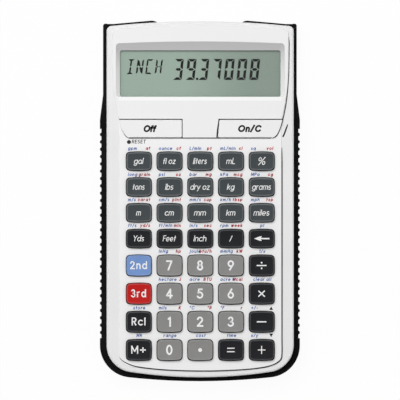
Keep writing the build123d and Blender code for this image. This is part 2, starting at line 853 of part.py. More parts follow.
notch_depth = 9.0
notch_lip_radius = 4.0
notch_turn = 2 * math.atan(notch_depth / notch_half)


def notch_lip(side, turn):
    """Point on the rounded lip of the thumb notch, turned down from its highest point."""
    across = notch_half - notch_lip_radius * math.sin(turn)
    return side * across, cover_peak - notch_lip_radius * (1 - math.cos(turn))


with BuildPart() as slide_cover:
    with BuildSketch() as cover_outline:
        with BuildLine():
            ThreePointArc(
                notch_lip(-1, notch_turn), (0, cover_peak - notch_depth), notch_lip(1, notch_turn)
            )
            ThreePointArc(
                (-grip_half, cover_low + cover_bottom_crown),
                (0, cover_low),
                (grip_half, cover_low + cover_bottom_crown),
            )
            for side in (-1, 1):
                ThreePointArc(
                    notch_lip(side, 0), notch_lip(side, notch_turn / 2), notch_lip(side, notch_turn)
                )
                Polyline(
                    (side * notch_half, cover_peak),
                    (side * shoulder_side, shoulder_row),
                    (side * cover_half, shoulder_row),
                    (side * cover_half, flare_high),
                    (side * grip_half, flare_low),
                    (side * grip_half, cover_low + cover_bottom_crown),
                )
        make_face()
        fillet(cover_outline.vertices().group_by(Axis.Y)[0], cover_corner)
        for side in (-1, 1):
            top_corner = cover_outline.vertices().sort_by_distance((side * cover_half, shoulder_row))[0]
            fillet(top_corner, cover_top_corner)
    extrude(amount=cover_wall_top)
    fillet(slide_cover.edges().group_by(Axis.Z)[0], cover_round)
    cover_blank = slide_cover.part
    inner_inset = rear_inset - slide_clearance
    extrude(face_sketch(cover_floor, inner_inset), amount=cover_wall_top, mode=Mode.SUBTRACT)
    with BuildSketch(Plane.XY.offset(cover_floor)):
        with Locations((0, face_top)):
            Rectangle(2 * (half_face - inner_inset), 2 * face_top_crown + 2 * face_top_corner)
    extrude(amount=cover_wall_top, mode=Mode.SUBTRACT)
    with BuildSketch(Plane.XY.offset(groove_middle - lip_thickness / 2)):
        for side in (-1, 1):
            with Locations((side * (half_face - inner_inset - lip_depth / 2), (lip_low + lip_high) / 2)):
                Rectangle(lip_depth + slide_clearance, lip_high - lip_low)
    extrude(amount=lip_thickness)
    with BuildSketch():
        for side in (-1, 1):
            with Locations((side * grip_half, (grip_high + grip_low) / 2)):
                Rectangle(2 * grip_depth, grip_high - grip_low)
    extrude(amount=cover_wall_top, mode=Mode.SUBTRACT)
    with BuildPart(mode=Mode.PRIVATE) as grip_ribs:
        with BuildSketch():
            for side in (-1, 1):
                rib_x = side * (grip_half - rib_radius)
                with Locations(*[(rib_x, rib_first - rib_pitch * n) for n in range(rib_count)]):
                    Circle(rib_radius)
        extrude(amount=cover_wall_top)
        add(cover_blank, mode=Mode.INTERSECT)
    add(grip_ribs.part)
slide_cover.part.label = "slide_cover"
export_step(slide_cover.part, "parts/slide_cover.step")
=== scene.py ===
import math

import bpy
import numpy as np
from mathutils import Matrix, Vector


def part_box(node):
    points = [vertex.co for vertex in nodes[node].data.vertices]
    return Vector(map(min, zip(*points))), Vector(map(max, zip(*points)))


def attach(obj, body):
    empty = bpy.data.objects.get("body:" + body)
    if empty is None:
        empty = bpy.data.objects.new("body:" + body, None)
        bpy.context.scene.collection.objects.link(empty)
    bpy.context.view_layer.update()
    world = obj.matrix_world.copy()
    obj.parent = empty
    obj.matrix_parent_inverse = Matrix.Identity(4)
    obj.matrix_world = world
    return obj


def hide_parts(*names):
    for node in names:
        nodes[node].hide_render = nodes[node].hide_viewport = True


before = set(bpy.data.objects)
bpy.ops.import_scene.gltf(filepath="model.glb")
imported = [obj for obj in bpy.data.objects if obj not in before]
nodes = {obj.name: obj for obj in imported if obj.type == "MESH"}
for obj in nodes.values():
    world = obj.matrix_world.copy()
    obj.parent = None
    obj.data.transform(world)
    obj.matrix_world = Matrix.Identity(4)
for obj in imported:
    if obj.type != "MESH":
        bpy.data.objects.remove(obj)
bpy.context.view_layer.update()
mm = 0.001
print("frame loaded:", len(nodes), "nodes")


def paint(red, green, blue):
    # 8-bit screen colour to the linear one that shaders use
    levels = np.array([red, green, blue]) / 255
    linear = np.where(levels > 0.04045, ((levels + 0.055) / 1.055) ** 2.4, levels / 12.92)
    return (*linear, 1.0)


def paintGrey(level):
    # a neutral one
    return paint(level, level, level)


# camera and lamps
cameraSettings = {
    "photoSize": 400,
    "pixel": 0.394,             # one pixel of the photograph at the face, in mm
    "originPixel": (200.3, 200.75),
    "faceHeight": 13.4 * mm,
    "distance": 4.0,
    "lean": 1.4,                # degrees to the left of straight above
    "clip": (0.05, 10),
}
camera = bpy.data.objects.new("camera", bpy.data.cameras.new("camera"))
bpy.context.scene.collection.objects.link(camera)
pixelSize = cameraSettings["pixel"] * mm
distance = cameraSettings["distance"]
middle = cameraSettings["photoSize"] / 2
lean = math.radians(cameraSettings["lean"])
camera.location = (
    (middle - cameraSettings["originPixel"][0]) * pixelSize - distance * math.sin(lean),
    (cameraSettings["originPixel"][1] - middle) * pixelSize,
    cameraSettings["faceHeight"] + distance * math.cos(lean),
)
camera.rotation_euler = (0, -lean, 0)
camera.data.lens = camera.data.sensor_width * distance / (cameraSettings["photoSize"] * pixelSize)
camera.data.clip_start, camera.data.clip_end = cameraSettings["clip"]
bpy.context.scene.camera = camera
bpy.context.scene.view_settings.view_transform = "Standard"

lightSettings = {
    "world": 0.40,
    "horizon": 0.6,             # brightness of the sky at its edge, a share of that straight above
    "key": {"power": 9.6, "size": 0.7, "place": (-0.3, 0.48, 1.1)},
    "fill": {"power": 0.8, "size": 0.8, "place": (0.6, -0.5, 0.9)},
}
for lampName in ("key", "fill"):
    lamp = bpy.data.objects.new(lampName + "Lamp", bpy.data.lights.new(lampName + "Lamp", "AREA"))
    lamp.data.energy = lightSettings[lampName]["power"]
    lamp.data.size = lightSettings[lampName]["size"]
    lamp.location = lightSettings[lampName]["place"]
    aim = -np.array(lamp.location)
    lamp.rotation_euler = (
        math.acos(-aim[2] / np.linalg.norm(aim)), 0, math.atan2(aim[1], aim[0]) - math.pi / 2
    )
    bpy.context.scene.collection.objects.link(lamp)
print("camera and lamps placed")


# shaders
class Wire:
    # a shader socket that takes part in sums: 1 - mask adds its own Math node
    def __init__(self, shader, socket):
        self.shader = shader
        self.socket = socket

    def maths(self, operation, first, second=None):
        values = {0: first} if second is None else {0: first, 1: second}
        return self.shader.add("ShaderNodeMath", {"operation": operation}, values)

    def __add__(self, other): return self.maths("ADD", self, other)
    def __radd__(self, other): return self.maths("ADD", other, self)
    def __sub__(self, other): return self.maths("SUBTRACT", self, other)
    def __rsub__(self, other): return self.maths("SUBTRACT", other, self)
    def __mul__(self, other): return self.maths("MULTIPLY", self, other)
    def __rmul__(self, other): return self.maths("MULTIPLY", other, self)
    def __pow__(self, other): return self.maths("POWER", self, other)
    def __gt__(self, other): return self.maths("GREATER_THAN", self, other)
    def __lt__(self, other): return self.maths("LESS_THAN", self, other)
    def __abs__(self): return self.maths("ABSOLUTE", self)


class Shader:
    # a material or the world, with one method that adds any node
    def __init__(self, name, holder=bpy.data.materials):
        self.material = holder.new(name)
        self.material.use_nodes = True
        self.tree = self.material.node_tree
        self.tree.nodes.clear()

    def add(self, kind, settings=None, values=None, out=0):
        node = self.tree.nodes.new(kind)
        for key, value in (settings or {}).items():
            if key == "stops":
                ramp = node.color_ramp
                while len(ramp.elements) < len(value):
                    ramp.elements.new(0.5)
                for element, (place, colour) in zip(ramp.elements, value):
                    element.position = place
                    element.color = colour
            else:
                setattr(node, key, value)
        for key, value in (values or {}).items():
            if isinstance(value, Wire):
                self.tree.links.new(value.socket, node.inputs[key])
            else:
                node.inputs[key].default_value = value
        return Wire(self, node.outputs[out])

    def place(self):
        return self.add("ShaderNodeTexCoord", out="Object")

    def along(self, axis):
        # where a point lies along X, Y or Z, in mm
        return self.add("ShaderNodeSeparateXYZ", {}, {"Vector": self.place()}, out=axis) * 1000

    def noise(self, scale, detail=2.0):
        return self.add("ShaderNodeTexNoise", {}, {"Vector": self.place(), "Scale": scale, "Detail": detail})

    def ramp(self, value, stops):
        return self.add("ShaderNodeValToRGB", {"stops": stops}, {"Fac": value})

    def cloudy(self, noise, dark, light):
        # dark in the hollows of a noise and light on its crests
        return self.ramp(noise, [(0.3, dark), (0.7, light)])

    def band(self, value, low, high):
        # 0 below low, 1 above high, straight between
        return self.add("ShaderNodeMapRange", {}, {"Value": value, "From Min": low, "From Max": high})

    def mix(self, factor, first, second):
        # 6, 7 and 2 are the colour sockets of the node
        return self.add("ShaderNodeMix", {"data_type": "RGBA"}, {"Factor": factor, 6: first, 7: second}, out=2)

    def attribute(self, name):
        return self.add("ShaderNodeAttribute", {"attribute_name": name}, out="Fac")

    def bump(self, height, strength, distance):
        return self.add(
            "ShaderNodeBump", {}, {"Height": height, "Strength": strength, "Distance": distance}, out="Normal"
        )

    def finish(self, values):
        return self.close(self.add("ShaderNodeBsdfPrincipled", {}, values))

    def close(self, surface, end="Material"):
        end = self.tree.nodes.new("ShaderNodeOutput" + end)
        self.tree.links.new(surface.socket, end.inputs["Surface"])
        return self.material


def toned(colour, share):
    # the colour times a share
    return tuple(min(1, c * share) for c in colour[:3]) + (1,)


grainSettings = {
    "fine": 4200, "cloud": 60,      # scales of the grain and of the cloudy tone
    "depth": 0.00002,
    "fineGloss": 0.12, "cloudGloss": 0.08,      # how far each of them moves the roughness
}


def mouldedPlastic(name, colour, roughness, grain=0.5, mottle=0.03):
    # moulded plastic: fine spark-eroded grain, cloudy tone and uneven gloss
    g = grainSettings
    shader = Shader(name)
    cloud = shader.noise(g["cloud"], 3)
    fine = shader.noise(g["fine"])
    return shader.finish({
        "Base Color": shader.ramp(cloud, [(0.35, toned(colour, 1 - mottle)), (0.65, toned(colour, 1 + mottle))]),
        "Roughness": roughness + (fine - 0.5) * g["fineGloss"] + (cloud - 0.5) * g["cloudGloss"],
        "Normal": shader.bump(fine, grain, g["depth"]),
    })


inkSettings = {"grain": 6000, "thin": 0.94, "roughness": 0.42, "uneven": 0.2}


def ink(name, colour, gloss=0.5):
    # printed ink: a thin coat, a little uneven
    shader = Shader(name)
    fine = shader.noise(inkSettings["grain"])
    return shader.finish({
        "Base Color": shader.cloudy(fine, toned(colour, inkSettings["thin"]), colour),
        "Roughness": inkSettings["roughness"] + (fine - 0.5) * inkSettings["uneven"],
        "Specular IOR Level": gloss,
    })


# what the meshes are built with
def meshObject(name, points, faces, smooth=True):
    # a mesh from an array of points and a list of corner numbers
    mesh = bpy.data.meshes.new(name)
    mesh.from_pydata(points.tolist(), [], faces)
    mesh.polygons.foreach_set("use_smooth", np.full(len(mesh.polygons), smooth))
    mesh.update()
    thing = bpy.data.objects.new(name, mesh)
    bpy.context.scene.collection.objects.link(thing)
    return thing


def ringMesh(name, rings):
    # closed surface through rings of points: quads between neighbours, a fan at each end
    count, around = rings.shape[:2]
    row = np.arange(count - 1)[:, None] * around
    step = np.arange(around)[None, :]
    nextStep = (step + 1) % around
    quads = np.stack([row + step, row + nextStep, row + around + nextStep, row + around + step], -1)
    points = rings.reshape(-1, 3)
    points = np.vstack([points, rings[0].mean(0), rings[-1].mean(0)])
    bottom, top = count * around, count * around + 1
    last = (count - 1) * around
    fans = np.vstack([
        np.stack([np.full(around, bottom), nextStep[0], step[0]], -1),
        np.stack([np.full(around, top), last + step[0], last + nextStep[0]], -1),
    ])
    return meshObject(name, points, quads.reshape(-1, 4).tolist() + fans.tolist())


def roundedOutline(halfX, halfY, corner, perCorner=14, perSide=10):
    # rounded rectangle, counter-clockwise: quarter circles joined by straight sides, as an array
    arcs = []
    for n, (sx, sy) in enumerate(((1, -1), (1, 1), (-1, 1), (-1, -1))):
        angle = np.linspace(0, 90, perCorner) + 90 * (n - 1)
        centre = np.array([sx * (halfX - corner), sy * (halfY - corner)])
        arcs.append(centre + corner * np.stack([np.cos(np.radians(angle)), np.sin(np.radians(angle))], -1))
    pieces = []
    for n, arc in enumerate(arcs):
        share = np.linspace(0, 1, perSide + 1)[1:-1, None]
        pieces += [arc, arc[-1] * (1 - share) + arcs[(n + 1) % 4][0] * share]
    return np.vstack(pieces)


stripSettings = {
    "mitreLimit": 0.6,          # least cosine that the widening at a bend is worked out with
    "discPoints": 9,
    "discEnd": 0.02,            # angle left out at a disc's ends, in radians
}


class Strips:
    # flat strips gathered into one mesh, each lifted over a surface and sunk into it
    def __init__(self, surface, lift, sink):
        self.surface = surface
        self.lift = lift
        self.sink = sink
        self.points = []
        self.faces = []
        self.size = 0

    def ribbon(self, line, halfWidth):
        # a centre line with a half width at every point: the edges stand off the line along its normal
        line = np.asarray(line, float)
        halfWidth = np.broadcast_to(halfWidth, len(line))
        runs = np.diff(line, axis=0)
        runs /= np.linalg.norm(runs, axis=1)[:, None]
        before = np.vstack([runs[:1], runs])
        after = np.vstack([runs, runs[-1:]])
        if np.linalg.norm(line[0] - line[-1]) < 1e-9:
            before[0], after[-1] = runs[-1], runs[0]
        along = before + after
        along /= np.linalg.norm(along, axis=1)[:, None]
        mitre = 1 / np.maximum((along * after).sum(1), stripSettings["mitreLimit"])
        normal = np.stack([-along[:, 1], along[:, 0]], -1)
        offset = normal * (halfWidth * mitre)[:, None]
        self.between(line + offset, line - offset)

    def between(self, left, right, lift=None, sink=None):
        # strip whose left and right edges are given, point for point, and whose top follows the surface
        lift, sink = lift or self.lift, sink or self.sink
        tops = [np.column_stack([e, self.surface(e[:, 0], e[:, 1]) + lift]) for e in (left, right)]
        lows = [t - np.array([0, 0, sink]) for t in tops]
        corners = np.stack([tops[0], tops[1], lows[1], lows[0]], 1).reshape(-1, 3)
        base = self.size + 4 * np.arange(len(left) - 1)[:, None]
        side = np.array([[0, 1, 5, 4], [1, 2, 6, 5], [2, 3, 7, 6], [3, 0, 4, 7]])
        walls = (base[:, None, :] + side[None]).reshape(-1, 4)
        end = self.size + 4 * (len(left) - 1)
        caps = [[self.size + n for n in (3, 2, 1, 0)], [end + n for n in (0, 1, 2, 3)]]
        self.points.append(corners)
        self.faces += walls.tolist() + caps
        self.size += len(corners)

    def disc(self, x, y, radius):
        # a ribbon whose half width follows a circle
        end = stripSettings["discEnd"]
        angle = np.linspace(end, math.pi - end, stripSettings["discPoints"])
        line = np.stack([x - radius * np.cos(angle), np.full(len(angle), y)], -1)
        self.ribbon(line, radius * np.sin(angle))

    def mesh(self, name, material, body, slot):
        thing = meshObject(name, np.vstack(self.points), self.faces, smooth=False)
        thing.data.materials.append(material)
        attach(thing, body)


# lettering
# Each letter is strokes parted by semicolons: l joins points with lines, a is an arc
# (centre, radii, first and last angle), d is a round dot with its radius where the stroke's doesn't do.
# Capitals are 1 high, small letters 0.68.
letters = {
    "a": "a .3 .34 .3 .34 0 360;l .6 .68 .6 0",
    "b": "l 0 1 0 0;a .3 .34 .3 .34 0 360",
    "c": "a .32 .34 .32 .34 48 312",
    "d": "a .3 .34 .3 .34 0 360;l .6 1 .6 0",
    "e": "l .02 .33 .6 .33 a .3 .34 .3 .34 2 308",
    "f": "l .12 0 .12 .78 a .34 .78 .22 .22 180 95;l 0 .64 .3 .64",
    "g": "a .3 .34 .3 .34 0 360;l .6 .68 .6 -.05 a .3 -.05 .3 .25 0 -145",
    "h": "l 0 1 0 0;l 0 .4 a .25 .42 .25 .26 180 0 l .5 0",
    "i": "l 0 .66 0 0;d 0 .95",
    "j": "l .2 .66 .2 -.1 a .02 -.1 .18 .18 0 -90;d .2 .95",
    "k": "l 0 1 0 0;l .44 .66 .04 .28;l .17 .4 .48 0",
    "l": "l 0 1 0 0",
    "m": "l 0 .66 0 0;l 0 .44 a .21 .45 .21 .23 180 0 l .42 0;l .42 .44 a .63 .45 .21 .23 180 0 l .84 0",
    "n": "l 0 .66 0 0;l 0 .4 a .25 .42 .25 .26 180 0 l .5 0",
    "o": "a .32 .34 .32 .34 0 360",
    "p": "l 0 .66 0 -.3;a .3 .34 .3 .34 0 360",
    "q": "a .3 .34 .3 .34 0 360;l .6 .66 .6 -.3",
    "r": "l 0 .66 0 0;l 0 .38 a .26 .4 .26 .28 180 78",
    "s": "a .21 .51 .19 .17 40 270 a .21 .17 .21 .17 90 -140",
    "t": "l .14 .94 .14 0;l 0 .64 .3 .64",
    "u": "l 0 .66 0 .26 a .25 .26 .25 .26 180 360 l .5 .66;l .5 .3 .5 0",
    "v": "l 0 .66 .26 0 .52 .66",
    "w": "l 0 .66 .2 0 .4 .66 .6 0 .8 .66",
    "x": "l 0 .66 .48 0;l .48 .66 0 0",
    "y": "l 0 .66 .27 0;l .54 .66 .12 -.3",
    "z": "l .02 .66 .46 .66 0 0 .48 0",
    "B": "l .32 .52 0 .52 0 0 .34 0 a .34 .26 .26 .26 -90 90;l 0 .52 0 1 .3 1 a .3 .76 .22 .24 90 -90",
    "C": "a .48 .5 .48 .5 42 318",
    "E": "l .46 1 0 1 0 0 .46 0;l 0 .52 .4 .52",
    "F": "l .46 1 0 1 0 0;l 0 .52 .4 .52",
    "H": "l 0 1 0 0;l .62 1 .62 0;l 0 .52 .62 .52",
    "I": "l 0 1 0 0",
    "J": "l .4 1 .4 .2 a .2 .2 .2 .2 0 -180",
    "K": "l 0 1 0 0;l .52 1 .03 .42;l .18 .6 .56 0",
    "L": "l 0 1 0 0 .42 0",
    "M": "l 0 0 0 1;l 0 1 .38 .22 .76 1;l .76 1 .76 0",
    "O": "a .5 .5 .5 .5 0 360",
    "P": "l 0 0 0 1 .3 1 a .3 .74 .25 .26 90 -90 l 0 .48",
    "R": "l 0 0 0 1 .3 1 a .3 .74 .25 .26 90 -90 l 0 .48;l .24 .48 .54 0",
    "S": "a .26 .75 .24 .25 40 270 a .26 .25 .27 .25 90 -140",
    "T": "l 0 1 .56 1;l .28 1 .28 0",
    "U": "l 0 1 0 .3 a .3 .3 .3 .3 180 360 l .6 1",
    "W": "l 0 1 .24 0 .48 1 .72 0 .96 1",
    "Y": "l 0 1 .3 .46 .6 1;l .3 .46 .3 0",
    "0": "a .28 .5 .28 .5 0 360",
    "1": "l 0 .82 .2 1 .2 0",
    "2": "a .28 .72 .27 .28 165 -40 l 0 0 .58 0",
    "3": "a .27 .75 .23 .25 155 -90 a .27 .25 .28 .25 90 -155",
    "4": "l .62 .25 0 .25 .44 1 .44 0",
    "5": "l .5 1 .14 1 .08 .56 a .26 .32 .3 .32 127 -150",
    "6": "a .28 .3 .28 .3 0 360;l .04 .43 .38 1",
    "7": "l 0 1 .54 1 .16 0",
    "8": "a .27 .755 .22 .245 0 360;a .27 .26 .27 .26 0 360",
    "9": "a .28 .7 .28 .3 0 360;l .52 .57 .18 0",
    "/": "l 0 -.06 .4 1.06",
    "%": "a .18 .76 .17 .22 0 360;a .76 .24 .17 .22 0 360;l .12 -.03 .82 1.03",
    "+": "l 0 .45 .62 .45;l .31 .14 .31 .76",
    "-": "l 0 .4 .34 .4",
    "plus": "l 0 .45 .74 .45;l .37 .05 .37 .85",
    "minus": "l 0 .45 .95 .45",
    "times": "l 0 .16 .63 .74;l .63 .16 0 .74",
    "divide": "l 0 .45 .98 .45;d .49 .76 .097;d .49 .14 .097",
    "equals": "l 0 .265 .73 .265;l 0 .635 .73 .635",
    "point": "d 0 .45 .21",
    "degree": "a .14 .86 .13 .14 0 360",
}


strokeSettings = {
    "arcStep": 15, "arcPoints": 5,      # degrees between the points of an arc, and the fewest that it has
    "apart": 0.02,          # nearer points are one, and a stroke whose ends are further apart is open
    "blank": 0.34,          # width of a blank, a share of the capitals' height
    "runOn": 0.45,          # how far an open end runs on, a share of the stroke's width
    "bend": 0.8,            # two runs whose cosine is less meet in a disc
    "straightPoints": 4,
    "leastDot": 0.62,       # least radius of a dot, a share of the stroke's width
}


def strokesOf(letter):
    # the stroke lines of one letter and its dots, in letter units
    lines, dots = [], []
    for stroke in letters[letter].split(";"):
        chain, words = [], stroke.split()
        while words:
            kind = words.pop(0)
            numbers = []
            while words and words[0] not in "lad":
                numbers.append(float(words.pop(0)))
            if kind == "l":
                chain.append(np.array(numbers).reshape(-1, 2))
            elif kind == "a":
                x, y, rx, ry, first, last = numbers
                points = max(strokeSettings["arcPoints"], int(abs(last - first) / strokeSettings["arcStep"]) + 1)
                angle = np.radians(np.linspace(first, last, points))
                chain.append(np.stack([x + rx * np.cos(angle), y + ry * np.sin(angle)], -1))
            else:
                dots.append((numbers + [0.0])[:3])
        if chain:
            line = np.vstack(chain)
            apart = np.r_[True, np.linalg.norm(np.diff(line, axis=0), axis=1) > strokeSettings["apart"]]
            lines.append(line[apart])
    return lines, dots


def write(strips, word, x, y, size, weight, slant, align, spacing, width=None):
    # word as ribbons: capitals are size high and strokes weight wide, slant leans them, align 0 left to 1 right;
    # the letters are stretched sideways where the whole width is given
    s = strokeSettings
    body = size - weight
    drawn, run = [], 0.0
    for letter in word:
        if letter == " ":
            run += s["blank"] * size
            continue
        lines, dots = strokesOf(letter)
        every = np.vstack(lines + [np.array(dots).reshape(-1, 3)[:, :2]])
        drawn.append((lines, dots, run - every[:, 0].min() * body))
        run += np.ptp(every[:, 0]) * body + spacing * size
    run -= spacing * size
    strokes = len(drawn) * weight
    stretch = 1.0 if width is None else (width - strokes) / run
    start = x - (run * stretch + strokes) * align

    def put(points, shift, n):
        # letter units to places on the face, for the nth letter
        high = points[:, 1] * body + weight / 2
        across = (shift + points[:, 0] * body) * stretch + (n + 0.5) * weight
        return np.stack([start + across + high * slant, y + high], -1)

    for n, (lines, dots, shift) in enumerate(drawn):
        for line in lines:
            turn = np.diff(line, axis=0)
            turn /= np.linalg.norm(turn, axis=1)[:, None]
            if np.linalg.norm(line[0] - line[-1]) > s["apart"]:
                line = line.copy()
                line[0] -= turn[0] * weight * s["runOn"] / body
                line[-1] += turn[-1] * weight * s["runOn"] / body
            bends = np.flatnonzero((turn[1:] * turn[:-1]).sum(1) < s["bend"]) + 1
            for first, last in zip(np.r_[0, bends], np.r_[bends, len(line) - 1]):
                piece = put(line[first:last + 1], shift, n)
                if len(piece) == 2:
                    piece = piece[0] + (piece[1] - piece[0]) * np.linspace(0, 1, s["straightPoints"])[:, None]
                strips.ribbon(piece, weight / 2)
            for bend in put(line[bends], shift, n):
                strips.disc(*bend, weight / 2)
        for dot in dots:
            strips.disc(*put(np.array([dot[:2]]), shift, n)[0], max(dot[2] * body, weight * s["leastDot"]))


# keys
keySettings = {
    "flange": 0.5 * mm,          # how far the flange stands out
    "flangeHeight": 0.8 * mm,
    "upright": 0.3 * mm,         # the flank stands upright up to here over the flange and leans in from "foot" on
    "foot": 1.4 * mm,
    "corner": 1.4 * mm,
    "leastCorner": 0.3 * mm,
    "sideBow": 0.16 * mm,
    "endBow": 0.38 * mm,
    "draft": 0.2 * mm,           # how far the top stands in from the foot
    "flankDraft": 0.7,           # the flank's share of that, and the rim has the rest
    "rim": 0.28 * mm,            # width of the rounded rim
    "rimHighlight": ((0.47, 0.95), (0.57, 0.3), (0.72, 0.0)),    # painted highlight on the rim: how light it is, at insets in mm
    "rimSides": (0.78, -0.18, 0.22),      # the painted highlight's lightness: middle, change towards +X, change towards +Y; lightest at the upper left
    "flankSides": (0.98, 0.15, -0.3),     # the same for the painted shade of the flanks, darkest at the lower right
    "sideEdge": 5,               # how near the edges these changes stay, as a power
    "most": 1.17,                # neither of them goes over this
    "flankFade": 0.3,            # how much less the flank's painted shade is at its top
    "flankRings": 5, "rimRings": 6, "rimStart": 15,      # degrees at which the quarter-round rim starts
    "dishRings": (0.8, 0.6, 0.4, 0.2),
    "dish": 0.14 * mm,
    "legendLift": 0.012 * mm,
    "legendSink": 0.05 * mm,
}
keyTones = {
    # the key and the painted highlight on its rim
    "slate": ((68, 74, 77), (152, 155, 156)), "black": ((30, 31, 35), (112, 113, 115)),
    "grey": ((143, 142, 141), (186, 185, 183)), "blue": ((120, 153, 209), (164, 190, 236)),
    "red": ((195, 26, 24), (228, 108, 106)),
}
keyRows = [
    ("slate", ["gal", "fl_oz", "liters", "ml", "percent"]),
    ("slate", ["tons", "lbs", "dry_oz", "kg", "grams"]),
    ("slate", ["m", "cm", "mm", "km", "miles"]),
    ("black", ["yds", "feet", "inch", "slash", "back"]),
    ("grey", ["2nd", "7", "8", "9", "divide"]),
    ("grey", ["3rd", "4", "5", "6", "times"]),
    ("grey", ["recall", "1", "2", "3", "minus"]),
    ("grey", ["memory", "0", "point", "equals", "plus"]),
]
keyTone = {word: tone for tone, words in keyRows for word in words}
keyTone.update({word: "black" for word in ("divide", "times", "minus", "equals", "plus", "recall", "memory")})
keyTone.update({"2nd": "blue", "3rd": "red"})
legendStyles = {
    # capital height, stroke, room between letters (a share of the height), lean,
    # then how far the middle and the foot lie from the key's middle
    "small": (2.4, 0.28, 0.08, 0.2, -0.3, -1.1),
    "tall": (3.1, 0.29, 0.08, 0.2, -0.3, -1.5),
    "slash": (2.15, 0.29, 0.08, 0.1, -0.2, -1.1),
    "word": (3.2, 0.48, 0.2, 0, -0.14, -1.44),
    "digit": (4.02, 0.66, 0.14, 0, -0.14, -1.94),
    "sign": (4.0, 0.38, 0.14, 0, -0.1, -1.82),
    "cross": (4.0, 0.47, 0.14, 0, -0.1, -1.82),
}
legends = {
    # what is written on a key that isn't a figure: letters, style and width in mm
    "gal": ("gal", "small", 3.59), "fl_oz": ("fl oz", "small", 5.0), "liters": ("liters", "small", 5.32),
    "ml": ("mL", "small", 3.46), "percent": ("%", "tall", 2.88),
    "tons": ("tons", "small", 4.79), "lbs": ("lbs", "small", 3.15), "dry_oz": ("dry oz", "small", 7.66),
    "kg": ("kg", "small", 2.82), "grams": ("grams", "small", 7.4),
    "m": ("m", "small", 1.76), "cm": ("cm", "small", 3.6), "mm": ("mm", "small", 4.62),
    "km": ("km", "small", 3.54), "miles": ("miles", "small", 6.18),
    "yds": ("Yds", "small", 4.32), "feet": ("Feet", "small", 5.03), "inch": ("Inch", "small", 4.95),
    "slash": ("/", "slash", None),
    "2nd": ("2nd", "word", 6.72), "3rd": ("3rd", "word", 5.91), "recall": ("Rcl", "word", 5.48),
    "memory": ("M+", "word", 5.78),
    "divide": (["divide"], "cross", None), "times": (["times"], "cross", None),
    "minus": (["minus"], "cross", None),
    "point": (["point"], "sign", None), "equals": (["equals"], "sign", None), "plus": (["plus"], "sign", None),
}


keyPaintSettings = {
    "fine": 5200, "cloud": 350,
    "rim": (0.88, 0.5),             # how light the rim's painted highlight is, and how patchy
    # painted shade on the flanks: how much, and its tone
    "flank": 0.85, "flankTone": (28, 29, 31),
    "roughness": (0.46, 0.16, 0.1),         # middle, grain's share, rim's share
    "gloss": 0.12, "grain": 0.35,
}


def keyPaint(name, colour, rimHighlight):
    # key plastic: the rounded rim carries a painted highlight, and the flanks carry painted shade
    k = keyPaintSettings
    shader = Shader(name)
    rim = shader.attribute("rim")
    flank = shader.attribute("flank")
    fine = shader.noise(k["fine"])
    cloud = shader.noise(k["cloud"], 3)
    base = shader.cloudy(cloud, toned(colour, 0.95), colour)
    lit = shader.mix(rim * (k["rim"][0] + (cloud - 0.5) * k["rim"][1]), base, rimHighlight)
    roughness, uneven, polish = k["roughness"]
    return shader.finish({
        "Base Color": shader.mix(flank * k["flank"], lit, paint(*k["flankTone"])),
        "Roughness": roughness + (fine - 0.5) * uneven - rim * polish,
        "Specular IOR Level": k["gloss"],
        "Normal": shader.bump(fine, k["grain"], grainSettings["depth"]),
    })


keyMaterials = {
    tone: keyPaint(tone + "Key", paint(*colour), paint(*rimHighlight)) for tone, (colour, rimHighlight) in keyTones.items()
}
whiteInk = ink("whiteInk", paintGrey(247))
blackInk = ink("blackInk", paint(8, 8, 9), 0.2)
greyInk = ink("greyInk", paint(66, 66, 68), 0.2)
blueInk = ink("blueInk", paint(98, 126, 196))
redInk = ink("redInk", paint(204, 62, 76))


def keyBox(word):
    # middle and half size of a key's cap, which is its CAD node without the flange
    low, high = (np.array(corner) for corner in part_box("key_" + word))
    half = (high - low)[:2] / 2 - keySettings["flange"]
    return (low + high)[:2] / 2, half, low[2], high[2]


def dishSurface(centre, half, top, settings):
    # top of a key: level at the rim, hollowed by dish times (1 - u^2)(1 - v^2) towards the middle
    inner = half - settings["draft"] - settings["rim"]

    def surface(x, y):
        u = np.clip((x - centre[0]) / inner[0], -1, 1)
        v = np.clip((y - centre[1]) / inner[1], -1, 1)
        return top - settings["dish"] * (1 - u ** 2) * (1 - v ** 2)
    return surface


